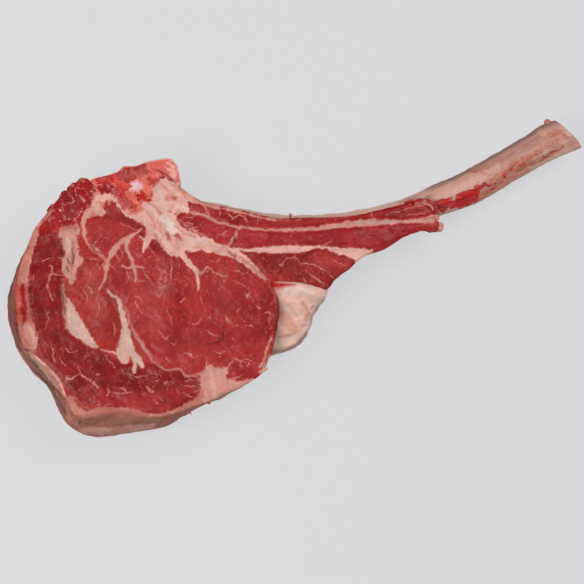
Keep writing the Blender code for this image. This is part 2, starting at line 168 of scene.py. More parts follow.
# Areas of fat: colour name and outline
FAT_AREAS = [
    ("peach", [(-147.5, 57.5), (-143, 56.5), (-139, 57), (-134, 56.5), (-131.5, 53.5), (-129, 49.5),
        (-127, 45.5), (-121, 43.5), (-114, 43), (-112, 40), (-112, 36), (-117, 37.5), (-122, 39.5),
        (-127, 42.5), (-130.3, 46), (-132, 49), (-134.7, 51.5), (-135.5, 50), (-137, 47.5), (-138.5, 50.5),
        (-139.5, 51), (-141, 46), (-140.5, 41), (-145, 39.5), (-150.5, 39), (-153.5, 36), (-154.2, 32),
        (-153.4, 27.5), (-154.8, 24), (-156.2, 28), (-157.2, 33), (-156.8, 37.5), (-155, 41.5), (-152, 46),
        (-149.5, 50)]),
    ("beige", [(-173, 28), (-171, 31), (-166, 32), (-160, 33), (-158, 29), (-160, 24), (-159, 16),
        (-158.5, 10.5), (-154.5, 7), (-156, 3.5), (-159.5, 0.5), (-160.5, -6.5), (-162.8, -12),
        (-165, -11.5), (-166, -8), (-168.5, -5), (-170, 0), (-170, 8), (-168, 12), (-170.5, 18), (-171, 22),
        (-173, 24)]),
    ("pale", [(-166, -22), (-163.5, -25), (-160.2, -31), (-155, -38.8), (-149, -48.9), (-142.8, -59.4),
        (-149.9, -57.6), (-157.6, -52.3), (-164.3, -47.8), (-166.6, -38.8), (-166.4, -29.8)]),
    ("salmon", [(-64, -72), (-62.5, -68), (-60.5, -70), (-57, -73), (-53, -72), (-48.5, -72), (-49.5, -76),
        (-50.5, -80), (-46, -81.5), (-38, -82), (-32, -81), (-30, -86), (-50, -98), (-75, -108),
        (-100, -112), (-88, -104.5), (-78, -100), (-70, -94), (-67, -89), (-69, -84), (-69.5, -79)]),
    ("cream", [(-115, 43), (-114, 48), (-112, 51), (-107, 52), (-104, 57), (-108, 61), (-104, 63),
        (-101, 67), (-97, 69), (-90, 66), (-86, 64), (-82, 61), (-76, 57), (-70, 54), (-79, 53), (-79, 49),
        (-77, 44), (-70, 43), (-85, 42.5), (-87, 38), (-85, 34), (-78, 29), (-70, 25.5), (-60, 23.5),
        (-62, 17), (-70, 16), (-80, 15), (-82, 11), (-89, 10), (-94, 12), (-98, 17), (-101.5, 22),
        (-106, 23), (-109, 25), (-110, 31), (-112.5, 33.5), (-117, 36.5), (-123, 39), (-127, 43)]),
    ("cream", [(-90, 66), (-84, 64), (-72, 56), (-66, 53), (-66, 50.5), (-80, 51), (-92, 52)]),
    ("cream", [(27, 17.5), (35, 18), (49, 18), (59, 17), (56, 14), (52, 12.5), (47.5, 8), (43.6, 9.8),
        (44, 12.5), (39, 14.5), (33, 13)]),
]

# Outer edge of the lean where it meets the rind, from the top left round to the lower right
LEAN_EDGE = [
    (-178, 44), (-188, 31), (-188.5, 25), (-192, 12), (-195.5, -14), (-191.5, -36), (-187.3, -55),
    (-190, -66), (-181, -72), (-174, -79), (-170, -86), (-167, -94), (-160, -95), (-154, -101),
    (-149, -104), (-141, -102.5), (-130, -103), (-120, -103), (-113, -104.5), (-108, -106.5),
    (-103, -107.5), (-97, -107), (-90, -104.5), (-83, -101.5), (-75, -97), (-70, -92.5), (-67, -88),
]

BEYOND_EDGE = [(-60, -130), (-170, -140), (-210, -100), (-235, -30), (-215, 30)]  # closes it round the rind

# Thin veins: width and points
VEINS = [
    (1.3, [(-180, 1), (-178, 1.5), (-178, -3), (-181, -13), (-181, -17)]),
    (1.0, [(-180, -13), (-178, -23), (-176, -24.5)]),
    (0.9, [(-177.5, -4.5), (-168, -6)]),
    (1.0, [(-185, 5), (-180, 7)]),
    (0.9, [(-173, 7), (-169.5, 7.5)]),
    (1.4, [(-170, 5), (-170, -1), (-168, -4.5), (-166, -2.5)]),
    (0.7, [(-162, 60), (-161.5, 54)]),
    (0.8, [(-164.5, 53.5), (-162.8, 50.5)]),
    (0.7, [(-170, 47), (-165, 49), (-161, 50.5)]),
    (1.6, [(-171.5, 46), (-170.5, 43.5)]),
    (0.9, [(-160, 38), (-158, 41), (-156, 43.5)]),
    (0.6, [(-157, 53), (-153, 48)]),
    (0.9, [(-178, -54), (-176, -62), (-174.5, -70)]),
    (1.2, [(-157, -73), (-155.5, -78), (-152, -81), (-148, -83), (-147, -81)]),
    (1.1, [(-156, -78), (-163, -82), (-166, -80.5), (-166, -84)]),
    (1.6, [(-144, -78.5), (-142, -78.5)]),
    (1.8, [(-146, -85), (-143, -88)]),
    (1.0, [(-136, -88), (-135, -91), (-137, -95)]),
    (1.1, [(-135, -91), (-128, -92.5), (-121, -91.5)]),
    (0.8, [(-138, -65), (-131, -73)]),
    (1.1, [(-127, -88), (-122, -91), (-118, -92)]),
    (2.0, [(-108, -87), (-105, -90), (-102, -91)]),
    (0.8, [(-100, -94), (-96, -97.5)]),
    (0.8, [(-103, -97), (-99, -99)]),
    (1.5, [(-95, -84.5), (-93, -83.5)]),
    (0.8, [(-86, -89), (-84, -92)]),
    (0.8, [(-80, -83), (-76, -81.5), (-72, -82)]),
    (1.0, [(-81, -91), (-77, -93.5), (-74, -94)]),
    (0.8, [(-76, -91), (-72, -90), (-69, -87)]),
    (1.4, [(-70, 50), (-66, 46), (-64, 42), (-62, 38)]),
    (1.1, [(-51, 44), (-48, 41.5), (-46, 38)]),
    (0.8, [(-46, 38.5), (-43, 40)]),
    (0.9, [(-38, 40), (-35, 36)]),
    (0.9, [(-16, 38), (-13, 36.5)]),
    (0.8, [(56, 45), (60, 41.5)]),
    (0.8, [(-57, 26), (-50, 29)]),
    (0.9, [(20, 19), (25, 22), (29, 24.5)]),
    (1.0, [(-9, 5), (-7, 8.5), (-3, 10), (1, 9.8), (5, 6), (11.5, 6), (21.4, 1.1), (29.6, -5.5)]),
    (1.0, [(8, 2), (14, -4), (20, -8), (26, -10)]),
    (1.0, [(28, 9.6), (32.9, 6.3), (39.5, 3.9)]),
    (0.9, [(1, 13), (0, 10)]),
    (2.0, [(-10.5, 5), (-9, 5)]),
    (1.3, [(7, -6), (9, -9)]),
    (0.9, [(-116, -8), (-111, -9)]),
    (0.9, [(-113, 0), (-110.5, -3), (-107.7, -7), (-104.3, -10)]),
    (0.7, [(-123.5, -2), (-122, -6), (-123, -10)]),
    (0.8, [(-128, 34.5), (-126, 32.5), (-122, 32), (-119, 30.3), (-116, 30)]),
    (0.7, [(-47, -6), (-40, -10), (-33, -14)]),
    (0.7, [(-48, 0), (-41, -0.5), (-38, -3)]),
    (0.8, [(-101, 2), (-98, -3), (-100, -9), (-96, -14), (-99, -19)]),
    (0.8, [(-96, 1), (-94, -6), (-96, -14)]),
    (0.7, [(-100, -9), (-95, -6)]),
    (0.9, [(-91, 8), (-90.5, 0), (-91, -8)]),
    (1.0, [(-117, -24), (-115, -28), (-111, -34)]),
    (0.8, [(-94, -30), (-91, -35), (-90, -41)]),
    (0.9, [(-100, -45), (-96, -50), (-92, -54)]),
    (0.8, [(-95, -52), (-90, -48)]),
    (0.9, [(-90, -55), (-87, -56)]),
    (1.1, [(-84, -24), (-81, -22)]),
    (0.9, [(-69, -21), (-68, -25)]),
    (0.9, [(-76, -40), (-71, -40), (-69, -36)]),
    (1.6, [(-51, -33), (-49, -37), (-47, -39)]),
    (1.0, [(-42, -31), (-40, -28)]),
    (1.0, [(-76, -62), (-74, -66)]),
    (0.8, [(-94, -65), (-92, -69)]),
    (1.5, [(-27, -27.5), (-25.5, -27.5)]),
    (1.1, [(-23, -32), (-19, -31), (-17, -34)]),
    (0.8, [(-19, -35), (-18, -40)]),
    (1.1, [(-42.5, -41), (-41.5, -41)]),
    (1.0, [(-36, -41), (-32, -41), (-29, -43)]),
    (1.5, [(-35, -18), (-33.5, -18)]),
    (1.2, [(-52.5, -8), (-51.5, -8)]),
    (1.1, [(-37.5, -38), (-36.5, -38)]),
    (1.1, [(-45.5, -51), (-44.5, -51)]),
    (0.7, [(-47, -64), (-40, -67), (-34, -66), (-28, -70)]),
    (0.7, [(-40, -67), (-38, -73)]),
    (2.2, [(-146, 15.3), (-145, 14.5)]),
    (0.9, [(-130, 18), (-127, 12), (-127.5, 7)]),
    (0.8, [(-134, 13), (-130, 9.5), (-129, 5)]),
    (0.7, [(-138, 4), (-133, 1), (-130, -3)]),
    (0.8, [(-109, 18), (-105, 14), (-103, 9)]),
    (0.7, [(-88, 12), (-85, 4), (-86, -3)]),
    (0.7, [(-64, 8), (-58, 6), (-55, 9)]),
    (0.7, [(-118, -20), (-113, -22), (-110, -27)]),
    (0.7, [(-107, -36), (-101, -34), (-97, -38)]),
    (0.8, [(-65, -44), (-61, -48), (-55, -49)]),
    (0.7, [(-86, -66), (-80, -62), (-74, -65), (-68, -63)]),
    (0.7, [(-60, -60), (-54, -62), (-50, -59)]),
    (0.8, [(-182, -30), (-180, -38), (-182, -46)]),
    (0.7, [(-170, -58), (-164, -62), (-158, -61)]),
    (0.7, [(-172, -66), (-167, -72)]),
    (0.7, [(-122, -78), (-114, -80), (-108, -78)]),
    (1.1, [(-85, 37), (-80, 35.4), (-75, 34.6)]),
    (1.0, [(-83, 35), (-77, 32.6), (-72, 32)]),
    (1.1, [(-81, 32.4), (-75, 30), (-69, 29.6)]),
    (0.9, [(-78, 30), (-72, 28), (-66, 27.6)]),
    (0.9, [(-74, 27.4), (-67, 25.8), (-61, 25.6)]),
    (0.8, [(-84, 40), (-79, 39.4), (-74, 40)]),
    (1.3, [(-66, -74), (-64.4, -69), (-63.8, -65)]),
    (1.2, [(-50, -74), (-47.6, -70), (-45, -67)]),
    (1.2, [(-52, -82), (-44, -80), (-38, -77.6)]),
    (1.0, [(-70, -80), (-75, -78.6), (-80, -78.8)]),
    (1.0, [(-70, -86), (-76, -87), (-81, -86)]),
    (1.0, [(80, 48.5), (88, 51), (96, 52.5), (101, 51)]),
    (0.9, [(84, 45), (92, 46), (99, 46.6)]),
    (0.7, [(72, 46.5), (79, 47)]),
    (0.9, [(-58, 47.6), (-55, 44), (-56, 39.4)]),
    (0.9, [(-46.5, 38), (-42, 41), (-37.5, 41.2), (-35, 38.4), (-36, 35.4)]),
    (0.8, [(-30, 43), (-27, 39.6), (-28, 35)]),
    (1.8, [(-150, -14), (-148, -18)]),
    (1.0, [(-132, -40), (-131.5, -46), (-131, -53)]),
    (0.7, [(-154, 2), (-150, -3), (-149, -9)]),
    (0.7, [(-146, 4), (-143, 0), (-144, -5)]),
    (0.7, [(-156, -14), (-152, -20), (-153, -26)]),
    (0.7, [(-146, -22), (-143, -28), (-145, -36)]),
    (0.7, [(-139, -26), (-137, -33)]),
    (0.7, [(-152, 8), (-147, 7), (-144, 8)]),
]

# Cracks and cut edges, sunk into the face and darkened with painted shade: width, depth and points
CRACKS = [
    (0.9, 0.7, [(-12, -22), (-11.4, -28), (-12.4, -38), (-14, -46), (-14, -51)]),
    (0.9, 0.7, [(-65, -55), (-58, -54), (-53, -50), (-52, -44)]),
    (0.8, 0.6, [(-150, -87), (-146, -91), (-143, -96)]),
    (1.1, 1.0, [(-44, 25.5), (-44, 22)]),
    (1.0, 0.9, [(-170, -13), (-169.5, -20), (-169, -26), (-167.5, -31), (-169, -34)]),
    (1.6, 1.0, [(-170.8, 13), (-170, 11), (-169.6, 8.5)]),
    (1.2, 0.8, [(-166, 7), (-165.4, 4)]),
    (1.2, 0.8, [(-167, 1), (-165.8, -2)]),
    (0.9, 0.6, [(-163.4, 15), (-162.6, 9), (-163.4, 4)]),
    (1.4, 0.8, [(-88.5, 42.5), (-87.5, 42.5)]),
    (0.2, 0.15, [(-53, 18), (-46, 12), (-40, 5), (-28, -5)]),
    (1.4, 0.9, [(-199, -60.5), (-191.5, -62), (-189, -65)]),
    (1.0, 0.7, [(-106, 75.5), (-98, 73), (-92, 69), (-87, 65)]),
    (0.9, 0.7, [(-194, -20), (-193, -25), (-192.5, -31), (-191.5, -36), (-191, -40)]),
    (0.8, 0.5, [(-157, -113), (-157, -119)]),
]

# Fresh blood red on the face: width, strength and points
RED_SPOTS = [
    (2.4, 0.6, [(-24, -6), (-18, -6.4), (-12, -6)]),
    (3.0, 0.4, [(-60, 23), (-55, 22), (-48, 21)]),
    (2.4, 0.5, [(-90, 54), (-88, 54)]),
    (2.2, 0.5, [(-92.5, 44), (-91.5, 44)]),
    (1.8, 0.6, [(-93, 24.5), (-91.5, 22)]),
    (1.0, 0.6, [(-86.5, 26.5), (-83, 22.5)]),
    (0.9, 0.6, [(-88.4, 26.0), (-85.2, 21.6)]),
    (1.6, 0.6, [(-141, 8), (-139, 4)]),
]

PALE_STREAK, ROSY_STREAK = (230, 194, 184), (194, 112, 100)
# Tints that lie over the fat and the rind: colour, how strongly, and stations x, y, width
TINTS = [
    ((197, 128, 114), 0.9, [(-190.5, 27, 3), (-192, 20, 4), (-193, 15, 3), (-194, 10, 4), (-196.5, 5, 5),
        (-197.3, 0, 5), (-197.3, -6, 5), (-198.5, -11, 5)]),
    ((186, 84, 72), 0.9, [(-201.5, -14, 3.5), (-201, -20, 4), (-201.3, -25, 4.5), (-202, -30, 4),
        (-200.5, -35, 3.5), (-198.5, -40, 6)]),
    ((198, 138, 124), 1.0, [(-197, -44, 8), (-195, -49, 11), (-192, -54, 9), (-190, -58, 5)]),
    ((206, 162, 148), 0.8, [(-193.4, -44, 2), (-191, -49, 3), (-189, -54, 2)]),
    ((182, 104, 92), 0.8, [(-199, -46, 2), (-198, -52, 3), (-194, -58, 2)]),
    ((150, 84, 72), 0.7, [(-200.5, -44, 1.4), (-199.5, -50, 1.6), (-196.5, -56, 1.2)]),
    ((210, 164, 150), 0.8, [(-186, 29, 1.4), (-189.5, 20, 1.8), (-191.4, 12, 1.6), (-193.6, 2, 1.4),
        (-195.5, -10, 1.2)]),
    ((150, 44, 40), 1.0, [(-199, -12, 1.8), (-198.8, -17, 3.2), (-198, -22, 3.6), (-197.8, -27, 3.8),
        (-197.5, -32, 4.8), (-196.8, -36, 4.4), (-197.5, -40, 1.8), (-198.5, -43, 1.2)]),
    ((188, 100, 90), 1.0, [(-196.7, -15, 1.6), (-196, -20, 2), (-195, -25, 2), (-194.5, -30, 2),
        (-193.2, -35, 2.4), (-192.6, -40, 3)]),
    ((142, 44, 38), 1.0, [(-194.6, 19, 1.6), (-196.5, 14, 3), (-199.5, 9, 3), (-201.6, 4, 3),
        (-202.6, -2, 2.6), (-203, -8, 2), (-203.6, -14, 1.6)]),
    ((126, 50, 44), 1.0, [(-203.8, -16, 2), (-204.2, -26, 2.6), (-204.2, -36, 3), (-203.6, -46, 2.6),
        (-201, -56, 2.4)]),
    ((134, 82, 73), 1.0, [(-198, 19, 2), (-203.5, 9, 3), (-206, 2, 4), (-208.3, -8, 6), (-209.5, -20, 8),
        (-209.5, -32, 8), (-208, -42, 6), (-205.5, -52, 5), (-202, -60, 5)]),
    ((148, 100, 90), 1.0, [(-199, -64, 5), (-192, -73, 7), (-185.5, -81, 8), (-180, -90, 9), (-173, -99, 9),
        (-168.5, -107, 8)]),
    ((194, 160, 147), 0.9, [(-195.5, -61.5, 2), (-190, -67.5, 4), (-184, -75, 5), (-179, -82, 4),
        (-174, -88, 2)]),
    ((88, 40, 34), 0.85, [(-191, -78, 0.8), (-186, -83, 1.4), (-180, -88, 1.8), (-174, -92.5, 1.6),
        (-168, -97, 1)]),
    ((112, 62, 54), 0.8, [(-196, -61, 0.8), (-190, -70, 1), (-184, -79, 1), (-178, -85.5, 1)]),
    ((96, 48, 42), 0.8, [(-188, -83, 0.8), (-182, -91, 1.2), (-175, -98, 1)]),
    ((190, 156, 146), 0.8, [(-190, -84, 0.8), (-184, -91, 1.2), (-176, -99, 1)]),
    ((96, 48, 42), 0.8, [(-178, -87, 1.4), (-169, -96, 1.6)]),
    ((100, 56, 48), 0.6, [(-172, -101, 1.6), (-168, -108, 1.6)]),
    ((205, 150, 132), 0.9, [(-183, -75, 3), (-175, -79, 4), (-173, -84, 2)]),
    ((205, 150, 132), 0.9, [(-172, -86, 2), (-169, -88, 2.5), (-169, -92, 1.5)]),
    ((184, 140, 132), 0.8, [(-176, -92, 1.2), (-168, -98, 1.4)]),
    ((206, 140, 120), 0.9, [(-165, -98, 2), (-165, -105, 3), (-165, -112, 3)]),
    ((200, 132, 120), 0.9, [(-160, -102, 4), (-157, -107, 6), (-152, -108, 5), (-148, -108, 3)]),
    ((196, 120, 110), 0.9, [(-163.5, -98, 2), (-160.5, -96, 2), (-157, -99, 1.5)]),
    ((148, 60, 56), 0.9, [(-160, -97.5, 2), (-155, -101, 3), (-150, -105, 2)]),
    ((176, 98, 62), 0.8, [(-162.5, -105, 2), (-161.5, -108, 2)]),
    ((172, 120, 104), 1.0, [(-162, -116, 6), (-155, -116, 6), (-148, -113, 7), (-138, -111.5, 7),
        (-125, -113.5, 6), (-110, -114, 6), (-98, -113, 5)]),
    ((218, 160, 145), 1.0, [(-157, -122, 4), (-148, -121.5, 6), (-130, -121.5, 7), (-115, -119, 6),
        (-104, -117, 4)]),
    ((190, 118, 104), 0.75, [(-103, 26, 2), (-99.5, 21, 4.5), (-96, 15, 2.4)]),
    ((230, 206, 198), 0.8, [(-98, 40, 4), (-93, 34, 8), (-87, 28, 5)]),
    ((168, 62, 58), 0.9, [(-94.4, 27.4, 1.6), (-92.6, 24.6, 1.8)]),
    ((176, 60, 56), 0.9, [(-87.6, 27, 1), (-85.4, 24.4, 1.7), (-83.4, 23.4, 1)]),
    ((222, 176, 162), 0.9, [(-104, 66, 3), (-98, 60, 5), (-100, 52, 5), (-104, 46, 4)]),
    ((196, 116, 100), 0.6, [(-110, 44, 2), (-105, 38, 2.4), (-102, 31, 2)]),
    ((224, 178, 162), 0.9, [(-145, 53, 5), (-141, 54, 6), (-136, 54, 5), (-132.5, 51, 4), (-129.5, 47, 3)]),
    ((220, 170, 154), 0.8, [(-147, 49, 5), (-145, 44, 6), (-142, 42, 5)]),
    ((190, 96, 84), 0.5, [(-149, 52, 1.4), (-151.6, 47, 1.8), (-155.6, 42, 1.6), (-157.6, 37, 1.2)]),
    ((212, 160, 146), 0.8, [(-150, 45, 3), (-154, 38, 3), (-155.4, 32, 2), (-154.6, 26, 1.6),
        (-152.6, 19.6, 1.2)]),
    ((218, 166, 152), 0.7, [(-126, 43, 2), (-119, 41.5, 3), (-113, 40, 4)]),
    ((188, 116, 104), 0.85, [(-48, 14, 1), (-40, 9.4, 2.4), (-33, 4.6, 2.8), (-26, -1.6, 2.4),
        (-20, -6, 2)]),
    ((208, 160, 148), 0.8, [(-44, 8.6, 2), (-38, 3.6, 1.6), (-31, -2.6, 1.6), (-24, -6.6, 1.2)]),
    ((212, 152, 140), 0.8, [(-125, 22, 2), (-130, 18, 2.4), (-133.5, 12.5, 2.2), (-136.5, 7, 2)]),
    ((196, 122, 110), 0.6, [(-100, 40, 1), (-99, 30, 1.4), (-96, 20, 1.4), (-90, 12, 1)]),
    ((196, 122, 110), 0.5, [(-95, 44, 1), (-96, 34, 1.2), (-92, 22, 1.2), (-86, 15, 1)]),
    ((200, 124, 112), 0.6, [(-113, 37, 2), (-111.5, 31, 2.4), (-108, 26, 2)]),
    ((202, 112, 100), 0.7, [(-122, 42, 3), (-117, 43, 3), (-112, 46, 2.4)]),
    ((206, 118, 104), 0.7, [(-94, 54, 4), (-88, 54, 3)]),
    ((196, 108, 96), 0.7, [(-100, 42, 1.8), (-101, 36, 1.8)]),
    ((206, 130, 118), 0.6, [(-101, 67, 2.4), (-96, 62, 2.4), (-91, 57, 1.6)]),
    ((192, 110, 98), 0.6, [(-84, 60, 1.6), (-78, 52, 1.4), (-70, 47, 1.2)]),
    ((190, 96, 86), 0.7, [(-171, 30, 4), (-166, 31, 4), (-161, 31, 3)]),
    ((176, 92, 80), 0.6, [(-163, 20, 1.4), (-162, 12, 1.6), (-163, 4, 1.6), (-164, -3, 1.2)]),
    ((226, 186, 174), 0.7, [(-167, 22, 3), (-166, 17, 4), (-166.5, 12, 2)]),
    ((224, 184, 176), 0.7, [(-152, -52, 4), (-147, -53, 4)]),
    ((190, 120, 108), 0.6, [(-62, 19, 1.2), (-52, 15, 1.2), (-44, 11, 1.4)]),
    ((222, 182, 172), 0.7, [(-78, 22, 5), (-68, 21, 4)]),
    (PALE_STREAK, 0.8, [(-110, 50, 1.5), (-104, 44, 2.2), (-99, 36, 1.6)]),
    (PALE_STREAK, 0.8, [(-100, 60, 2), (-97, 50, 2.2), (-95, 42, 1.6)]),
    (PALE_STREAK, 0.8, [(-87, 48, 1.4), (-82, 46.4, 1.6), (-78, 45.6, 1)]),
    (PALE_STREAK, 0.8, [(-84, 35, 1.2), (-80, 31.5, 1.4), (-74, 28.4, 1)]),
    (PALE_STREAK, 0.7, [(-101, 28, 1.6), (-96, 20, 1.6), (-91, 14, 1)]),
    (PALE_STREAK, 0.7, [(-80, 25, 1.4), (-72, 22.6, 1.4), (-64, 20.6, 1.2)]),
    (ROSY_STREAK, 0.7, [(-107, 50, 1.2), (-101, 45, 1.4), (-98, 41, 1)]),
    (ROSY_STREAK, 0.7, [(-91, 48, 1.2), (-85, 43.5, 1)]),
    (ROSY_STREAK, 0.7, [(-88, 33, 1), (-82, 28, 1.2), (-74, 25, 1)]),
    (ROSY_STREAK, 0.7, [(-105, 34, 1.2), (-103, 26, 1)]),
    (ROSY_STREAK, 0.7, [(-89, 23, 1.2), (-85, 17, 1)]),
    (ROSY_STREAK, 0.7, [(-93, 66, 1.2), (-85, 60.4, 1.4), (-76, 54.6, 1)]),
    ((206, 134, 122), 0.6, [(-76, 17.5, 1.4), (-66, 16.4, 1.4), (-55, 13, 1.2)]),
    ((206, 160, 152), 0.8, [(45, 38, 2), (60, 39, 2.6), (75, 39.6, 2)]),
    ((218, 170, 156), 0.7, [(-62, -74, 2), (-60, -82, 3), (-58, -92, 3)]),
    ((196, 128, 114), 0.6, [(-66, -86, 1.4), (-60, -94, 1.6), (-50, -90, 1.4), (-40, -86, 1.2)]),
]

# Places where the lean is lighter or darker: colour, how strongly, and stations x, y, width
LEAN_TINTS = [
    ((166, 74, 70), 0.7, [(-96, 5, 12), (-96, -18, 12)]),
    ((174, 68, 66), 0.7, [(-118, -8, 12), (-115, -24, 18), (-108, -40, 14)]),
    ((134, 34, 31), 0.8, [(-20, -14, 8), (-18, -30, 14), (-20, -45, 10)]),
    ((148, 44, 45), 0.7, [(-34, -30, 14), (-32, -48, 14)]),
    ((170, 56, 54), 0.6, [(-80, -10, 16), (-78, -35, 16)]),
    ((162, 56, 55), 0.8, [(-150, -92, 10), (-125, -97, 14), (-95, -98, 14), (-78, -88, 10)]),
    ((130, 34, 32), 0.8, [(-184, -16, 12), (-180, -40, 12), (-170, -62, 12)]),
    ((134, 36, 34), 0.7, [(-160, -66, 10), (-140, -76, 10)]),
    ((134, 42, 40), 0.8, [(-24, 6, 10), (-8, 2, 8)]),
    ((172, 66, 62), 0.7, [(16, 9, 8), (28, 8, 8), (38, 4, 8)]),
    ((172, 62, 60), 0.7, [(-72, 46, 5), (-62, 44, 6)]),
    ((138, 34, 35), 0.7, [(-48, 38, 6), (-30, 38, 6)]),
    ((138, 36, 38), 0.7, [(-84, 38, 6), (-76, 36, 8)]),
    ((182, 62, 58), 0.6, [(-42, 20.5, 3), (-32, 19.5, 3)]),
    ((132, 30, 32), 0.7, [(-128, 39, 3), (-121, 35.5, 3.5), (-115, 33, 3)]),
    ((130, 28, 30), 0.7, [(-112, 26, 4), (-105, 19, 6), (-99, 14, 5)]),
    ((176, 84, 78), 0.6, [(-150, -2, 10), (-148, -16, 12), (-142, -34, 10)]),
    ((150, 60, 60), 0.7, [(-168, 40, 5), (-163, 46, 6), (-158, 50, 5)]),
    ((128, 22, 27), 0.6, [(-166, 52, 6), (-160, 56, 6)]),
    ((112, 22, 24), 0.7, [(-150, 66, 2), (-148.6, 60, 2.4), (-149.6, 54, 2)]),
    ((136, 34, 36), 0.8, [(66, 44, 4), (84, 47.5, 5), (98, 49, 6)]),
    ((138, 36, 36), 0.6, [(-100, 18, 6), (-92, 6, 8), (-84, -2, 8)]),
    ((176, 76, 70), 0.5, [(-108, -14, 8), (-104, -30, 10), (-100, -46, 8)]),
    ((144, 40, 40), 0.6, [(-86, -20, 5), (-82, -36, 7), (-86, -52, 6)]),
    ((174, 70, 64), 0.5, [(-58, -6, 6), (-50, -22, 10), (-54, -38, 8)]),
    ((136, 34, 32), 0.5, [(-186, 10, 6), (-184, -8, 8)]),
    ((158, 52, 50), 0.6, [(-176, 14, 4), (-174, -2, 5)]),
]

# Wet places that glint, through a shinier finish and painted highlight specks in their colour: width and
# points
GLINTS = [
    (5, [(-91, 8), (-90.5, 0), (-91, -9)]),
    (8, [(-62, -28), (-60, -36), (-58, -42)]),
    (7, [(-99, 0), (-98, -14)]),
    (6, [(-116, -24), (-112, -34)]),
    (10, [(-44, -70), (-32, -68)]),
    (5, [(-36, -17), (-32, -19)]),
    (6, [(-104, -76), (-98, -82)]),
    (5, [(-156, -88), (-150, -94)]),
    (6, [(-148, 18), (-144, 13)]),
]

FAT_COLOURS = {
    "cream": (223, 173, 160),
    "pale": (208, 168, 157),
    "beige": (202, 146, 132),
    "salmon": (207, 150, 136),
    "peach": (205, 130, 116),
    "pink": (206, 146, 133),
    "dusky": (188, 124, 114),
    "edge": (206, 146, 132),
    "lilac": (190, 124, 116),
    "rind": (190, 120, 106),
    "bone": (222, 112, 100),
}
VEIN_COLOUR = (205, 126, 115)
BLOOD = (160, 14, 16)


def linear(colour):
    """Linear colour of an ordinary 0 to 255 one."""
    value = np.array(colour, float) / 255
    return np.where(value <= 0.04045, value / 12.92, ((value + 0.055) / 1.055) ** 2.4)


def paint(colour):
    """Linear paint that looks like an ordinary 0 to 255 colour under the studio's light and its sheen."""
    return np.maximum((linear(colour) - HAZE) / GAIN, 0.004)


def tone(colour):
    """Paint as a plain tuple for a socket."""
    return tuple(float(v) for v in paint(colour))


def smooth_line(points, step, closed):
    """Points along a smooth line through the given ones, about a step apart."""
    points = np.array(points, float)
    count = len(points)
    found = []
    for i in range(count if closed else count - 1):
        if closed:
            before, start, end, after = (points[(i + k) % count] for k in (-1, 0, 1, 2))
        else:
            before, start, end, after = (points[min(max(i + k, 0), count - 1)] for k in (-1, 0, 1, 2))
        pieces = max(1, round(np.linalg.norm(end[:2] - start[:2]) / step))
        for t in np.arange(pieces) / pieces:
            found.append(0.5 * (2 * start + (end - before) * t
                                + (2 * before - 5 * start + 4 * end - after) * t ** 2
                                + (3 * start - before - 3 * end + after) * t ** 3))
    if not closed:
        found.append(points[-1])
    return np.array(found)


def even_loop(points, step):
    """Evenly spaced points along a closed smooth line."""
    line = smooth_line(points, step / 4, True)
    line = np.vstack([line, line[:1]])
    travelled = np.concatenate([[0], np.cumsum(np.linalg.norm(np.diff(line[:, :2], axis=0), axis=1))])
    places = np.linspace(0, travelled[-1], round(travelled[-1] / step), endpoint=False)
    return np.column_stack([np.interp(places, travelled, line[:, i]) for i in range(line.shape[1])]), places


def outward(loop):
    """Unit normals of an anticlockwise loop."""
    along = np.roll(loop[:, :2], -2, axis=0) - np.roll(loop[:, :2], 2, axis=0)
    along /= np.linalg.norm(along, axis=1)[:, None]
    return np.stack([along[:, 1], -along[:, 0]], axis=1)


def tightness(loop, edge):
    """Share of an edge's rounding that fits at each point of a loop, less at its sharp corners."""
    before, after = loop - np.roll(loop, 3, axis=0), np.roll(loop, -3, axis=0) - loop
    turn = before[:, 0] * after[:, 1] - before[:, 1] * after[:, 0]
    length = np.linalg.norm(before, axis=1) * np.linalg.norm(after, axis=1)
    turn = np.arcsin(np.clip(turn / length, -1, 1))
    radius = 3 * RIM_STEP / np.maximum(turn, 0.01)
    share = np.clip(0.75 * radius / edge, 0.1, 1)
    share = np.min([np.roll(share, i) for i in range(-6, 7)], axis=0)
    return np.mean([np.roll(share, i) for i in range(-4, 5)], axis=0)


def anticlockwise(points):
    x, y = np.array(points, float)[:, :2].T
    area = np.sum(x * np.roll(y, -1) - y * np.roll(x, -1))
    return points if area > 0 else points[::-1]


def smooth_step(low, high, value):
    t = np.clip((value - low) / (high - low), 0, 1)
    return t * t * (3 - 2 * t)


def waves(x, y, size, seed):
    """Soft random waves of about one unit, with crests about a size apart."""
    rng = np.random.default_rng(seed)
    total = np.zeros(np.shape(x))
    for _ in range(WAVE_COUNT):
        angle = rng.uniform(0, 2 * math.pi)
        rate = rng.uniform(0.6, 1.7)
        phase = rng.uniform(0, 2 * math.pi)
        total += np.sin(2 * math.pi * rate / size * (np.cos(angle) * x + np.sin(angle) * y) + phase)
    return total * math.sqrt(2 / WAVE_COUNT)


def bumpy(x, y, seed, layers):
    """Waves on waves, as pairs of height and size."""
    total = np.zeros(np.shape(x))
    for i, (height, size) in enumerate(layers):
        total += height * waves(x, y, size, seed + i)
    return total


def stray(points, size, seed):
    """Soft random shifts in x and in y, of about one unit."""
    x, y = points[:, 0], points[:, 1]
    return np.column_stack([waves(x, y, size, seed), waves(x, y, size, seed + 1)])


def as_seen(places):
    """Where the camera sees places, on the level of the cut face."""
    return places[:, :2] + (places[:, 2:] - THICKNESS) * np.array([LEAN_X, LEAN_Y])


def near(points, line):
    low, high = line[:, :2].min(axis=0) - REACH, line[:, :2].max(axis=0) + REACH
    return np.flatnonzero(((points > low) & (points < high)).all(axis=1))


def crossed(px, py, ax, ay, bx, by):
    """Whether each point lies to the left of an edge that passes its height."""
    return ((ay > py) != (by > py)) & (px < ax + (py - ay) * (bx - ax) / ((by - ay) or 1e-9))


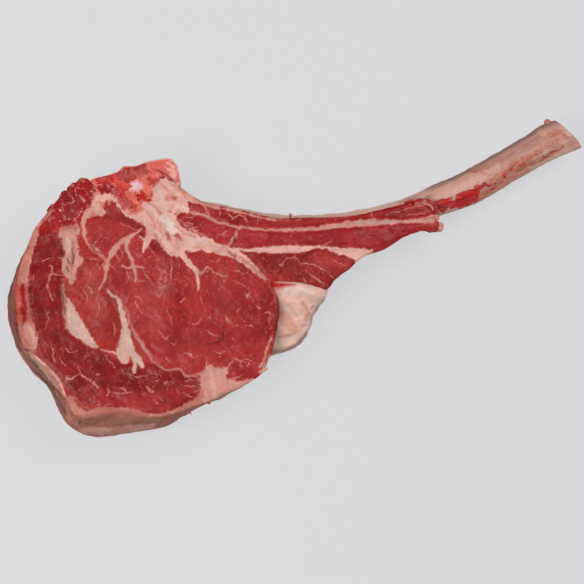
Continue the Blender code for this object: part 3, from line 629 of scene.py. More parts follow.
def area_depth(points, outline, step=2.0):
    """How far inside a closed outline each point lies, negative outside it and at most the reach away."""
    loop = smooth_line(outline, step, True)
    depth = np.full(len(points), -REACH)
    picked = near(points, loop)
    px, py = points[picked].T
    nearest = np.full(len(picked), 1e9)
    inside = np.zeros(len(picked), bool)
    for (ax, ay), (bx, by) in zip(loop, np.roll(loop, -1, axis=0)):
        dx, dy = bx - ax, by - ay
        t = np.clip(((px - ax) * dx + (py - ay) * dy) / (dx * dx + dy * dy), 0, 1)
        nearest = np.minimum(nearest, (px - ax - t * dx) ** 2 + (py - ay - t * dy) ** 2)
        inside ^= crossed(px, py, ax, ay, bx, by)
    nearest = np.sqrt(nearest)
    depth[picked] = np.maximum(-REACH, np.where(inside, nearest, -nearest))
    return depth


def line_depth(points, stations):
    """How far inside a line of changing width each point lies."""
    return path_depth(points, smooth_line(stations, STATION_STEP, False))


def path_depth(points, line):
    """How far inside a line of straight pieces and changing width each point lies."""
    depth = np.full(len(points), -REACH)
    picked = near(points, line)
    px, py = points[picked].T
    found = np.full(len(picked), -REACH)
    for (ax, ay, aw), (bx, by, bw) in zip(line, line[1:]):
        dx, dy = bx - ax, by - ay
        t = np.clip(((px - ax) * dx + (py - ay) * dy) / (dx * dx + dy * dy + 1e-9), 0, 1)
        away = np.hypot(px - ax - t * dx, py - ay - t * dy)
        found = np.maximum(found, (aw + (bw - aw) * t) / 2 - away)
    depth[picked] = found
    return depth


def wandering(stations):
    """A finely divided line of stations x, y, width that strays a little."""
    line = smooth_line(stations, LINE_STEP, False)
    x, y = line[:, 0].copy(), line[:, 1].copy()
    line[:, :2] += 0.25 * stray(line, 5, PAINT_SEED) + 0.15 * stray(line, 2.4, PAINT_SEED + 2)
    line[:, 2] *= 1 + 0.16 * waves(x, y, 11, PAINT_SEED + 4) + 0.06 * waves(x, y, 4, PAINT_SEED + 5)
    return line


def strand(width, points):
    """A thin line that strays and thins towards its ends."""
    return wandering(tapered(width, points))


def tapered(width, points):
    """Stations of a vein that thins towards both its ends."""
    count = len(points)
    shares = [1.0 if count < 3 else 1.15 - 0.75 * abs(2 * i / (count - 1) - 1) ** 2 for i in range(count)]
    return [(x, y, width * share) for (x, y), share in zip(points, shares)]


def relief(points):
    """Height of the muscles over the seams, at points on the cut face."""
    height = np.zeros(len(points))
    for rise, _, _, outline in MUSCLES.values():
        depth = area_depth(points, outline)
        height = np.maximum(height, 0.6 * rise * smooth_step(-0.3 * SEAM_WIDTH, SEAM_WIDTH, depth))
    return height


class Patch:
    """What each point of a mesh carries for its material."""

    def __init__(self, count):
        self.lean = np.tile(paint(SEAM_COLOUR), (count, 1))
        self.fat_colour = np.tile(paint(FAT_COLOURS["cream"]), (count, 1))
        self.fat = np.full(count, -REACH)
        self.vein = np.full(count, -REACH)
        self.painted_shade = np.zeros(count)
        self.blood = np.zeros(count)
        self.skin = np.zeros(count)
        self.gloss = np.zeros(count)
        self.grain = np.zeros((count, 3))

    def store(self, mesh):
        for name in ("lean", "fat_colour"):
            values = np.column_stack([getattr(self, name), np.ones(len(self.fat))])
            layer = mesh.attributes.new(name, "FLOAT_COLOR", "POINT")
            layer.data.foreach_set("color", values.astype(np.float32).ravel())
        for name in ("fat", "vein", "painted_shade", "blood", "skin", "gloss"):
            layer = mesh.attributes.new(name, "FLOAT", "POINT")
            layer.data.foreach_set("value", getattr(self, name).astype(np.float32))
        layer = mesh.attributes.new("grain", "FLOAT_VECTOR", "POINT")
        layer.data.foreach_set("vector", self.grain.astype(np.float32).ravel())


def mixed(base, colour, share):
    return base + (paint(colour) - base) * share[:, None]


def tinted(base, points, tints, low, high):
    """Colours with tints mixed in where points lie between a low and a high depth inside their lines."""
    for colour, strength, stations in tints:
        base = mixed(base, colour, strength * smooth_step(low, high, line_depth(points, stations)))
    return base


def paint_muscles(patch, points, bent):
    """Colours of the lean and the way its grain runs, which in the cap is round the eye."""
    x, y = points.T
    east, north = x - EYE_X, y - EYE_Y
    round_eye = np.column_stack([70 * np.arctan2(north, east), np.hypot(east, north), np.zeros(len(x))])
    deepest = np.full(len(points), -3.0)
    for name, (_, angle, colour, outline) in MUSCLES.items():
        depth = area_depth(bent, outline)
        patch.lean = mixed(patch.lean, colour, smooth_step(-1.5, 1.5, depth))
        cosine, sine = np.cos(math.radians(angle)), np.sin(math.radians(angle))
        layer = np.full(len(x), 40.0 * angle)
        straight = np.column_stack([cosine * x + sine * y, -sine * x + cosine * y, layer])
        taken = depth > deepest
        patch.grain[taken] = (round_eye if name == "cap" else straight)[taken]
        deepest = np.maximum(deepest, depth)
    patch.lean = tinted(patch.lean, bent, LEAN_TINTS, -3.0, 3.0)


def paint_face(patch, points):
    """Fills a patch from points on the cut face: muscles, seams, veins, cracks with painted shade, blood, and
    wet places with painted highlight specks.
    """
    bent = points + 0.4 * stray(points, 5, PAINT_SEED) + 0.22 * stray(points, 2.2, PAINT_SEED + 2)
    paint_muscles(patch, points, bent)
    for name, outline in FAT_AREAS:
        put_fat(patch, area_depth(bent, outline), name)
    for name, stations in SEAMS:
        put_fat(patch, path_depth(points, wandering(stations)), name)
    put_fat(patch, area_depth(bent, LEAN_EDGE + BEYOND_EDGE), "rind")
    patch.fat_colour = tinted(patch.fat_colour, bent, TINTS, -0.8, 0.7)
    for width, line in VEINS:
        patch.vein = np.maximum(patch.vein, path_depth(points, strand(width, line)))
    # Painted shade in the cracks and along dark cut edges
    for width, _, line in CRACKS:
        depth = path_depth(points, strand(width, line))
        patch.painted_shade = np.maximum(patch.painted_shade, smooth_step(-0.6, 0.5, depth))
    for width, strength, line in RED_SPOTS:
        depth = line_depth(bent, tapered(width, line))
        patch.blood = np.maximum(patch.blood, strength * smooth_step(-1.0, 0.8, depth))
    # Wet places: a shinier finish, and painted highlight specks in the flesh's colour
    patch.gloss = smooth_step(-1, 2, area_depth(bent, MUSCLES["shoulder"][3]))
    for width, line in GLINTS:
        depth = line_depth(bent, tapered(width, line))
        patch.gloss = np.maximum(patch.gloss, 0.8 * smooth_step(-2, 3, depth))
    paint_backbone(patch, points)


def put_fat(patch, depth, name):
    """Lays one kind of fat over the others, with its colour where it is the deeper one."""
    share = smooth_step(-2.0, 0.5, depth - np.maximum(patch.fat, -1))
    patch.fat_colour = mixed(patch.fat_colour, FAT_COLOURS[name], share)
    patch.fat = np.maximum(patch.fat, depth)


def crack_depth(points):
    """How far the cracks sink into the cut face."""
    sunk = np.zeros(len(points))
    for width, deep, line in CRACKS:
        depth = line_depth(points, tapered(width, line))
        sunk = np.maximum(sunk, deep * smooth_step(-1.2, 0.6, depth))
    return sunk


def triangulated(ring, spacing, lines):
    """Points inside a ring, closely along the lines too, and triangles over the ring's points and them."""
    low, high = ring.min(axis=0), ring.max(axis=0)
    rows = np.arange(low[1], high[1], 0.866 * spacing)
    columns = np.arange(low[0], high[0], spacing)
    spots = np.array([(x + (row % 2) * spacing / 2, y) for row, y in enumerate(rows) for x in columns])
    spots = spots[ring_depth(spots, ring) > 0.6 * spacing]
    rng = np.random.default_rng(3)
    spots += rng.uniform(-0.12, 0.12, spots.shape) * spacing
    count = len(ring)
    edges = [(i, (i + 1) % count) for i in range(count)]
    both = [ring]
    for line in lines:
        kept = np.flatnonzero(ring_depth(line[:, :2], ring) > spacing)
        if len(kept) < 2:
            continue
        wide = np.column_stack([line[kept, :2], np.full(len(kept), 1.1 * spacing)])
        spots = spots[path_depth(spots, wide) < 0]
        start = sum(len(points) for points in both)
        edges += [(start + i, start + i + 1) for i in range(len(kept) - 1) if kept[i + 1] == kept[i] + 1]
        both.append(line[kept, :2])
    both = np.vstack(both + [spots])
    places, _, faces, _, _, _ = delaunay_2d_cdt([Vector(p) for p in both], edges, [], 1, 1e-7)
    return np.array([tuple(p) for p in places])[count:], faces


def ring_depth(points, ring):
    """How far inside a dense ring each point lies, by its nearest point."""
    inside = np.zeros(len(points), bool)
    nearest = np.full(len(points), 1e9)
    px, py = points.T
    for (ax, ay), (bx, by) in zip(ring, np.roll(ring, -1, axis=0)):
        nearest = np.minimum(nearest, (px - ax) ** 2 + (py - ay) ** 2)
        inside ^= crossed(px, py, ax, ay, bx, by)
    nearest = np.sqrt(nearest)
    return np.where(inside, nearest, -nearest)


def profile(top, rows, edge):
    """Heights of a slab's side rows, the share of the underside's spread there, and their inset."""
    turn = np.radians(np.linspace(0, 90, 5))
    low = [(edge * (1 - math.cos(a)), 0, -edge * (1 - math.sin(a))) for a in turn]
    middle = [(h, 0, 0) for h in np.linspace(edge, top - edge, rows)[1:-1]]
    high = [(top - edge * (1 - math.cos(a)), 0, -edge * (1 - math.sin(a))) for a in turn[::-1]]
    levels = np.array(low + middle + high)
    share = np.interp(levels[:, 0], [0, 1, 5, 0.35 * top, 0.7 * top, top - 2.5, top - 0.7, top],
                      [0.92, 0.96, 1, 0.95, 0.45, 0.08, 0, 0])
    return levels[:, 0], share, levels[:, 2]


def ring_faces(rings, count, start=0):
    """Four-sided faces between rings of a count of points that follow each other from a start."""
    faces = []
    for row in range(rings - 1):
        a = start + row * count
        b = a + count
        faces += [(a + i, a + (i + 1) % count, b + (i + 1) % count, b + i) for i in range(count)]
    return faces


def slab(outline, top, edge, top_step, rows, joined, lines=()):
    """Closed slab whose rim stays sharp inside the joined outlines, where it touches another piece.

    It gives places and faces, and for each point its place on the face, where it lies, its way round and
    its normal.
    """
    loop, around = even_loop(anticlockwise(outline), RIM_STEP)
    normal = outward(loop)
    normal = np.mean([np.roll(normal, i, axis=0) for i in range(-5, 6)], axis=0)
    spread = loop[:, 2] if loop.shape[1] > 2 else np.zeros(len(loop))
    heights, shares, insets = profile(top, rows, edge)
    fitted = tightness(loop[:, :2], edge)
    for area in joined:
        fitted = fitted * smooth_step(2.0, -1.0, area_depth(loop[:, :2], area))
    rings, count = len(heights), len(loop)
    places, home, kind, way = [], [], [], []
    for height, share, inset in zip(heights, shares, insets):
        flat = loop[:, :2] + normal * (spread * share + inset * fitted)[:, None]
        places.append(np.column_stack([flat, np.full(count, height)]))
        home.append(loop[:, :2] - normal * (edge * fitted + PAINT_INSET)[:, None])
        kind.append(np.full(count, WALL))
        way.append(around)
    kind[-1] = np.full(count, FACE)
    home[-1] = places[-1][:, :2]
    faces = ring_faces(rings, count)
    for row, part, step, drawn in ((rings - 1, FACE, top_step, lines), (0, UNDER, UNDER_STEP, ())):
        spots, triangles = triangulated(places[row][:, :2], step, drawn)
        first = sum(len(some) for some in places)
        index = np.concatenate([np.arange(count) + row * count, np.arange(len(spots)) + first])
        turn = -1 if part == UNDER else 1
        faces += [tuple(index[list(triangle)][::turn]) for triangle in triangles]
        places.append(np.column_stack([spots, np.full(len(spots), heights[row])]))
        home.append(spots)
        kind.append(np.full(len(spots), part))
        way.append(np.zeros(len(spots)))
    places = np.vstack(places)
    normals = np.zeros((len(places), 2))
    normals[:rings * count] = np.tile(normal, (rings, 1))
    return places, faces, np.vstack(home), np.concatenate(kind), np.concatenate(way), normals


def new_piece(name, places, faces, patch, material, nodes=()):
    """Object of drawn millimetre places that rides with the steak."""
    places = np.array(places, float)
    places[:, :2] -= CENTRE
    mesh = bpy.data.meshes.new(name)
    mesh.from_pydata((places * MM).tolist(), [], [tuple(int(i) for i in f) for f in faces])
    mesh.update()
    bm = bmesh.new()
    bm.from_mesh(mesh)
    bmesh.ops.recalc_face_normals(bm, faces=bm.faces)
    bm.to_mesh(mesh)
    bm.free()
    mesh.shade_smooth()
    patch.store(mesh)
    mesh.materials.append(material)
    obj = bpy.data.objects.new(name, mesh)
    bpy.context.scene.collection.objects.link(obj)
    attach(obj, "root")
    if nodes:
        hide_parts(*nodes)


class Graph:
    """Short names for building a material's nodes."""

    def __init__(self, name):
        self.material = bpy.data.materials.new(name)
        self.material.use_nodes = True
        self.tree = self.material.node_tree
        self.shader = self.tree.nodes["Principled BSDF"]

    def node(self, kind, settings=(), **inputs):
        node = self.tree.nodes.new("ShaderNode" + kind)
        for key, value in dict(settings).items():
            setattr(node, key, value)
        for key, value in inputs.items():
            key = int(key[1:]) if key[0] == "_" and key[1:].isdigit() else key.replace("_", " ")
            self.put(node.inputs[key], value)
        return node

    def put(self, socket, value):
        if isinstance(value, bpy.types.NodeSocket):
            self.tree.links.new(value, socket)
        elif isinstance(value, (tuple, list)) and len(value) == 3 and socket.type == "RGBA":
            socket.default_value = (*value, 1)
        else:
            socket.default_value = value

    def field(self, name, output="Fac"):
        """What a mesh carries under a name."""
        return self.node("Attribute", {"attribute_name": name}).outputs[output]

    def math(self, operation, a, b=0.0, c=0.0):
        return self.node("Math", {"operation": operation}, _0=a, _1=b, _2=c).outputs[0]

    def chain(self, operation, values):
        total = values[0]
        for value in values[1:]:
            total = self.math(operation, total, value)
        return total

    def add(self, *values):
        return self.chain("ADD", values)

    def times(self, *values):
        return self.chain("MULTIPLY", values)

    def step(self, value, low, high, out_low=0.0, out_high=1.0):
        """Smooth change of a value from one level to another."""
        node = self.node("MapRange", {"interpolation_type": "SMOOTHSTEP"}, Value=value, From_Min=low,
                         From_Max=high, To_Min=out_low, To_Max=out_high)
        return node.outputs["Result"]

    def noise(self, vector, scale, detail=2.0, rough=0.5, stretch=None):
        """Noise from 0 to 1 with so many crests to a unit, finer ones on them, and drawn out by a stretch."""
        if stretch:
            vector = self.node("VectorMath", {"operation": "MULTIPLY"}, _0=vector, _1=stretch).outputs[0]
        noise = self.node("TexNoise", Vector=vector, Scale=scale, Detail=detail, Roughness=rough)
        return noise.outputs["Fac"]

    def centred(self, *noise):
        return self.math("SUBTRACT", self.noise(*noise), 0.5)

    def threads(self, value, width):
        """Thin lines where a noise passes its middle."""
        away = self.math("ABSOLUTE", self.math("SUBTRACT", value, 0.5))
        return self.step(away, 0.0, width, 1.0, 0.0)

    def mix(self, share, a, b, kind="MIX"):
        node = self.node("Mix", {"data_type": "RGBA", "blend_type": kind})
        self.put(node.inputs[0], share)
        self.put(node.inputs[6], a)
        self.put(node.inputs[7], b)
        return node.outputs[2]

    def between(self, value, low, high, first, second):
        """The first colour at a low value, and the second at a high one."""
        return self.mix(self.step(value, low, high), tone(first), tone(second))

    def brightened(self, colour, value):
        return self.node("HueSaturation", Color=colour, Value=value).outputs["Color"]

    def finish(self, settings):
        """Sets the shader's inputs and gives the material."""
        for name, value in settings.items():
            self.put(self.shader.inputs[name], value)
        return self.material

    def wet_surface(self, colour, height, strength, rough, shine, scatter):
        """Finishes a surface with bumps that lets a little light in."""
        bumps = self.node("Bump", Strength=strength, Distance=BUMP_HEIGHT, Height=height)
        return self.finish({"Base Color": colour, "Normal": bumps.outputs["Normal"], "Roughness": rough,
                            "Specular IOR Level": shine, "Subsurface Weight": 0.08,
                            "Subsurface Radius": scatter, "Subsurface Scale": 1.0})


# How far noises are drawn out along the grain
FIBRES, LONG_FIBRES, SHREDS = (0.3, 1.0, 1.0), (0.12, 1.0, 1.0), (0.25, 1.0, 1.0)
BUMP_HEIGHT = 0.0007
# Threads of fat in the lean: scale, stretch, width, scale and levels of where they show, strength, colour
THREADS = [
    (0.13, 0.6, 0.018, 75.0, 0.46, 0.62, 0.5, (200, 114, 104)),
    (0.28, 0.45, 0.014, 60.0, 0.42, 0.6, 0.35, (198, 108, 100)),
]


def lean_colour(g, where, grain):
    """Lean with its fibres, threads, specks and pale patches."""
    colour = g.field("lean", "Color")
    for value, low, high, dim, bright in (
            (g.noise(where, 60.0, 4.0, 0.6), 0.3, 0.7, 0.82, 1.15),
            (g.noise(grain, 0.5, 4.0, 0.6, FIBRES), 0.3, 0.7, 0.84, 1.16),
            (g.noise(where, 420.0, 3.0, 0.6), 0.32, 0.68, 0.9, 1.1)):
        colour = g.brightened(colour, g.step(value, low, high, dim, bright))
    for scale, stretch, width, patches, low, high, strength, thread in THREADS:
        lines = g.threads(g.noise(grain, scale, 3.0, 0.65, (stretch, 1.0, 1.0)), width)
        shown = g.times(lines, g.step(g.noise(where, patches, 2.0), low, high), strength)
        colour = g.mix(shown, colour, tone(thread))
    specks = g.times(g.step(g.noise(where, 520.0, 2.0), 0.65, 0.72),
                     g.step(g.noise(where, 50.0, 2.0), 0.45, 0.6), 0.6)
    colour = g.mix(specks, colour, tone((214, 132, 120)))
    pale = g.times(g.step(g.noise(where, 42.0, 3.0, 0.6), 0.45, 0.75), 0.25)
    return g.mix(pale, colour, tone((180, 76, 72)))


def fat_colour(g, where, streaks):
    """Fat with its streaks, blushes and fine red lines."""
    colour = g.field("fat_colour", "Color")
    colour = g.brightened(colour, g.step(g.noise(where, 110.0, 4.0, 0.6), 0.3, 0.7, 0.88, 1.1))
    colour = g.brightened(colour, g.step(streaks, 0.35, 0.65, 0.91, 1.09))
    blush = g.times(g.step(g.noise(where, 70.0, 4.0, 0.65), 0.52, 0.7), 0.3)
    lines = g.times(g.threads(g.noise(where, 90.0, 4.0, 0.65), 0.025), 0.35)
    for share, tint in ((blush, (0.93, 0.72, 0.68)), (lines, (0.85, 0.55, 0.5))):
        colour = g.mix(share, colour, g.mix(1.0, colour, tint, "MULTIPLY"))
    return colour


def flesh_material(name, rough=0.38):
    """Raw meat and fat, told apart by what each point carries."""
    g = Graph(name)
    where = g.node("TexCoord").outputs["Object"]
    grain = g.field("grain", "Vector")
    gloss = g.field("gloss")
    wet = g.math("MAXIMUM", gloss, 0.0)
    streaks = g.noise(grain, 0.16, 4.0, 0.6, FIBRES)
    ragged = g.add(g.times(g.centred(where, 260.0, 4.0, 0.65), 1.3),
                   g.times(g.centred(where, 700.0, 3.0, 0.6), 0.8),
                   g.times(g.centred(grain, 0.5, 3.0, 0.5, FIBRES), 0.5))
    edge = g.add(g.field("fat"), ragged)
    fat = g.step(edge, -0.3, 0.6)
    vein = g.step(g.add(g.field("vein"), g.times(ragged, 0.4)), -0.3, 0.4)

    fringe = g.times(g.step(edge, -1.1, 0.1), 0.75)
    colour = g.mix(fringe, lean_colour(g, where, grain), tone((190, 98, 88)))
    shown = g.step(g.noise(where, 330.0, 2.0), 0.35, 0.62, 0.3, 0.95)
    colour = g.mix(g.times(vein, shown), colour, tone(VEIN_COLOUR))
    colour = g.mix(fat, colour, fat_colour(g, where, streaks))
    membrane = g.between(streaks, 0.35, 0.65, (112, 64, 58), (172, 120, 106))
    patchy = g.step(g.noise(where, 42.0, 3.0, 0.6), 0.25, 0.6, 0.6, 1.0)
    colour = g.mix(g.times(g.field("skin"), patchy), colour, membrane)
    colour = g.mix(g.field("blood"), colour, tone(BLOOD))
    # Painted shade: cracks and cut edges darkened in the colour
    colour = g.mix(g.times(g.field("painted_shade"), 0.75), colour, tone((82, 28, 22)))
    # Painted highlights: pale specks mixed into the colour where the surface is wet, standing in for glints
    painted_glints = g.times(g.step(g.noise(where, 480.0, 3.0, 0.7), 0.61, 0.67),
                    g.step(g.noise(where, 110.0, 2.0), 0.5, 0.58), wet, 0.9)
    colour = g.mix(painted_glints, colour, tone((240, 214, 216)))

    height = g.add(g.times(g.centred(where, 150.0, 3.0, 0.6), 0.2),
                   g.times(g.centred(grain, 0.6, 3.0, 0.6, FIBRES), 0.2),
                   g.times(fat, 0.2), g.times(vein, 0.08),
                   g.times(g.centred(where, 380.0, 3.0, 0.65), g.times(wet, 0.5)))
    dull = g.step(g.noise(where, 85.0, 3.0, 0.6), 0.35, 0.7, rough + 0.08, rough - 0.1)
    dull = g.math("SUBTRACT", dull, g.times(gloss, 0.16))
    shine = g.math("MULTIPLY_ADD", gloss, 0.13, 0.16)
    return g.wet_surface(colour, height, 0.5, dull, shine, (0.0022, 0.0007, 0.0005))


def thin_end(places):
    """Share of the way to the thin end of the rib meat."""
    return smooth_step(FLANK_START, FLANK_END, places[:, 0]) * smooth_step(-20, 10, places[:, 1])


def face_height(points):
    """Height of the cut face over the slab's flat top."""
    rough = bumpy(*points.T, 21, [(0.28, 17), (0.1, 6), (0.03, 2.6)])
    return relief(points) - 0.6 + rough - crack_depth(points)


def shaped_slice(places):
    """Muscles stand up on the cut face, the rib meat thins towards its end and the underside is flat."""
    height = np.clip(places[:, 2] / THICKNESS, 0, 1)
    end = thin_end(places)
    top = THICKNESS - FLANK_DROP * end
    places[:, 2] = FLANK_LIFT * end * (1 - height) + top * height
    places[:, 2] += smooth_step(RELIEF_FROM, RELIEF_FULL, height) * face_height(places[:, :2])
    x, y = places[:, 0], places[:, 1]
    places[:, 2] += smooth_step(0.15, 0.0, height) * (end > 0.01) * 0.4 * waves(x, y, 14, 24)
    places[(places[:, 2] < 0.3) & (end < 0.01), 2] = 0
    return places


def wall_bumps(places, normal, way, amount):
    """Uneven sides: broad folds that run along the edge, and small lumps."""
    height = places[:, 2]
    push = 0.7 * waves(way, 1.6 * height, 30, 31) + 0.3 * waves(way, height, 9, 32)
    push += 0.08 * waves(way, height, 3, 33)
    rim = smooth_step(0, 4, height) * smooth_step(THICKNESS, THICKNESS - 4, height)
    places[:, :2] += normal * (push * rim * amount)[:, None]
    return places


def make_steak(material):
    lines = [wandering(stations) for _, stations in SEAMS]
    lines += [strand(entry[0], entry[-1]) for entry in VEINS + CRACKS]
    places, faces, home, kind, way, normal = slab(
        SLICE, THICKNESS, edge=ROUND_EDGE, top_step=TOP_STEP, rows=WALL_ROWS,
        joined=(JOINED_CHINE, JOINED_TAIL), lines=lines)
    places = wall_bumps(places, normal, way, 0.5)
    places = shaped_slice(places)
    wall, height = kind == WALL, places[:, 2]
    drift = waves(way, 1.5 * height, 18, 41)
    home[wall] -= normal[wall] * (0.8 * np.abs(drift[wall]))[:, None]
    sideways = (1 - height / THICKNESS) * (6 * waves(0.3 * way, 0.4 * height, 34, 42) + 1.6 * drift)
    home[wall] += np.column_stack([-normal[wall, 1], normal[wall, 0]]) * sideways[wall, None]
    seen = as_seen(places)
    shown = wall & (area_depth(seen, [corner[:2] for corner in SLICE]) < 0.3)
    home[shown] = seen[shown]
    patch = Patch(len(places))
    paint_face(patch, home)
    paint_wall(patch, places, wall, way)
    patch.skin[kind == UNDER] = 0.1
    new_piece("steak", places, faces, patch, material, ("meat", "fat_cap"))


def paint_wall(patch, places, wall, way):
    """Rind and membranes on the left and lower sides of the slice."""
    rind = wall * smooth_step(-3, 3, area_depth(places[:, :2], RIND, 4.0))
    patch.fat = np.where(rind > 0.5, 6.0, patch.fat)
    patch.blood = patch.blood * (1 - rind)
    patch.skin = np.maximum(patch.skin, 0.25 * rind * smooth_step(THICKNESS, THICKNESS - 4, places[:, 2]))
    patch.gloss = np.where(wall, -smooth_step(THICKNESS, THICKNESS - 3, places[:, 2]), patch.gloss)
    patch.grain[wall] = np.column_stack([way, places[:, 2], np.full(len(way), 500.0)])[wall]


def rib_line():
    """Stations along the rib with their directions along and across, and how far along they are."""
    line = smooth_line(RIB, RIB_STEP, False)
    along = np.gradient(line[:, :2], axis=0)
    along /= np.linalg.norm(along, axis=1)[:, None]
    across = np.stack([-along[:, 1], along[:, 0]], axis=1)
    travelled = np.concatenate([[0], np.cumsum(np.linalg.norm(np.diff(line[:, :2], axis=0), axis=1))])
    return line, along, across, travelled


# Rib bone: x, y, z, half its width seen from above, half its height
RIB = [
    (-86, 54.5, 22, 5, 6), (-74, 49.5, 22, 8.5, 9.5), (-58, 45.5, 22, 9.5, 10.5),
    (-38, 41.8, 22, 9.5, 10.5), (-15, 38.8, 22, 9.0, 10.5), (8, 38.2, 22, 9.0, 10.5),
    (35, 39.8, 22, 9.3, 10.5), (62, 44.6, 22, 10.0, 10.5), (88, 51.5, 22, 11.0, 10.5),
    (112, 61.8, 22, 11.8, 10.2), (135, 71.8, 21, 12.9, 10.0), (161, 87.4, 21, 12.6, 9.6),
    (182, 100.0, 20, 12.7, 9.0), (195.8, 108.4, 20, 13.6, 8.6), (209.9, 114.6, 20, 13.6, 8.2),
]
RIB_SIDES, RIB_STEP, RIB_SQUARENESS = 72, 1.0, 2.4
RIB_RADIUS = 10  # turns an angle round the bone into millimetres
GROOVE_ANGLE, GROOVE_SPREAD, GROOVE_DEPTH = math.radians(235), math.radians(20), 1.3
# The sawn end: its slant, how far from it the slant begins, and rings of points on it
SAW_SLANT, SAW_REACH, SAW_RINGS = 0.42, 26.0, 12

# What lies on the bone, with painted highlights among the fat along its lower and sawn edges, as seen from
# the camera: for each field strengths and stations x, y, width
BONE_MARKS = {
    "blood": [
        (1.0, [(105.5, 52, 6), (111, 52.8, 9), (115.5, 55.5, 5)]),
        (1.0, [(118, 52.5, 6), (124, 55, 9), (129, 58, 9), (134, 62, 7), (139, 66, 4), (144, 68, 2),
            (149, 70, 1)]),
        (0.9, [(118, 51, 3), (126, 52, 4), (134, 55, 3), (137, 60, 3)]),
        (0.7, [(134.5, 69.5, 1), (138.5, 70, 1.4)]),
        (0.5, [(145, 63, 2), (153, 69, 2.4), (160, 75, 1.6)]),
        (0.46, [(157, 76, 2), (163, 80, 3), (168, 83.5, 5), (175, 86, 3)]),
        (0.6, [(183.5, 87.5, 1.2), (190, 91.5, 1.4), (196, 95.5, 1.8), (205, 101.5, 1.2)]),
        (0.42, [(140, 59.5, 1.4), (150, 65.5, 1.6), (162, 73.5, 1.4)]),
    ],
    "vein": [
        (1.0, [(153, 74, 3), (160, 79, 5), (167, 83.5, 8), (173, 87, 9), (179, 90, 6)]),
        (0.8, [(176, 89, 5), (186, 97, 6), (195, 105, 9), (202, 109, 8), (206, 106, 4)]),
        (0.6, [(133, 79.5, 3), (138, 79, 4), (144, 78, 3)]),
        (0.9, [(136, 57.5, 3), (146, 63, 4), (156, 69, 4.4), (166, 75, 3), (178, 81, 2)]),
        (1.0, [(130, 52.5, 2), (140, 57, 2.6), (152, 63.5, 2.4), (166, 71.5, 2), (184, 81, 1.6)]),
        (0.9, [(146, 71, 3), (153, 74, 3.6), (160, 78, 3)]),
        (0.6, [(176, 83, 2), (188, 89.5, 2), (200, 96, 2)]),
    ],
    "skin": [
        (0.8, [(173, 99, 2), (178, 99.6, 3.4), (184, 101, 2)]),
        (0.8, [(150, 86, 2.4), (157, 88.5, 4), (164, 91, 2)]),
        (0.7, [(193, 97, 2), (200, 101, 2.4), (206, 104, 2)]),
    ],
    "fat": [
        (1.0, [(106, 60, 6), (116, 64, 9), (128, 70, 10), (141, 75, 9), (153, 80, 6)]),
        # Fat along the lower edge, partly a painted highlight that lightens it
        (1.0, [(112, 46.5, 4), (125, 50, 4), (138, 56, 6), (150, 62.5, 6), (165, 72, 6), (182, 81, 6),
            (200, 91, 6), (212, 97, 4)]),
        # Painted highlight: a pale rim along the sawn edge
        (1.0, [(187, 115.5, 2.4), (195, 111, 2.2), (202, 105.5, 2.2), (211, 97, 2.2)]),
        (0.8, [(184, 112, 4), (190, 109, 6), (196, 103, 3)]),
        (0.9, [(189, 93.5, 2), (196, 98, 3), (203, 102, 2)]),
    ],
}


def squared(value):
    """Cosines or sines of a circle pushed out towards a rounded square."""
    return np.sign(value) * np.abs(value) ** (2 / RIB_SQUARENESS)


def make_rib(material):
    line, along, across, travelled = rib_line()
    angles = np.linspace(0, 2 * math.pi, RIB_SIDES, endpoint=False)
    around = RIB_RADIUS * angles
    groove = GROOVE_DEPTH * np.exp(-((angles - (GROOVE_ANGLE - math.pi / 2)) / GROOVE_SPREAD) ** 2)
    rings = []
    for i, (x, y, z, width, height) in enumerate(line):
        slant = SAW_SLANT * (1 - smooth_step(0, SAW_REACH, travelled[-1] - travelled[i]))
        lump = bumpy(around, np.full(RIB_SIDES, travelled[i]), 71, [(0.16, 26), (0.08, 6)])
        side = squared(np.cos(angles)) * (width - groove + lump)
        lift = squared(np.sin(angles)) * (height - groove + lump)
        ring = np.array([x, y]) + side[:, None] * across[i] - (slant * side)[:, None] * along[i]
        rings.append(np.column_stack([ring, z + lift]))
    last = rings[-1]
    middle = last.mean(axis=0)
    inward = [k / SAW_RINGS for k in range(1, SAW_RINGS)]
    rings += [middle + (last - middle) * (1 - share) for share in inward]
    faces = ring_faces(len(rings), RIB_SIDES)
    end = (len(rings) - 1) * RIB_SIDES
    faces += [tuple(range(RIB_SIDES))[::-1], tuple(range(end, end + RIB_SIDES))]
    far = np.repeat(np.append(travelled, np.full(len(inward), travelled[-1])), RIB_SIDES)
    sawn = np.repeat(np.append(np.zeros(len(line)), inward), RIB_SIDES)
    places = np.vstack(rings)
    patch = Patch(len(places))
    paint_rib(patch, places, far, np.tile(around, len(rings)), sawn)
    new_piece("rib", places, faces, patch, material, ("rib_bone",))


def paint_rib(patch, places, far, around, sawn):
    """Marks on the bone, fat where it is in the meat, blood below, painted shade along the upper edge and the
    sawn end.
    """
    patch.fat[:] = 0
    patch.vein[:] = 0
    seen = as_seen(places)
    seen += 0.8 * stray(seen, 9, 111)
    upper = np.sin(around / RIB_RADIUS)
    facing = smooth_step(-0.75, -0.25, upper)
    for field, marks in BONE_MARKS.items():
        for strength, stations in marks:
            share = strength * facing * smooth_step(-1.6, 1.0, line_depth(seen, stations))
            setattr(patch, field, np.maximum(getattr(patch, field), share))
    hidden = smooth_step(108, 60, places[:, 0])
    patch.fat = np.maximum(patch.fat, 0.9 * hidden)
    under = (1 - facing) * smooth_step(0.6, 1.5, waves(far, 3 * around, 60, 113))
    patch.blood = np.maximum(patch.blood, 0.6 * under)
    patch.grain = np.column_stack([far, around, np.zeros(len(far))])
    patch.gloss = sawn
    # Painted shade along the bone's upper edge, which curves away from the light; below zero the field marks
    # the part hidden in the meat
    edge = np.cos(around / RIB_RADIUS) * smooth_step(-0.35, 0, upper)
    patch.painted_shade = edge * (1 - hidden) - 2 * hidden


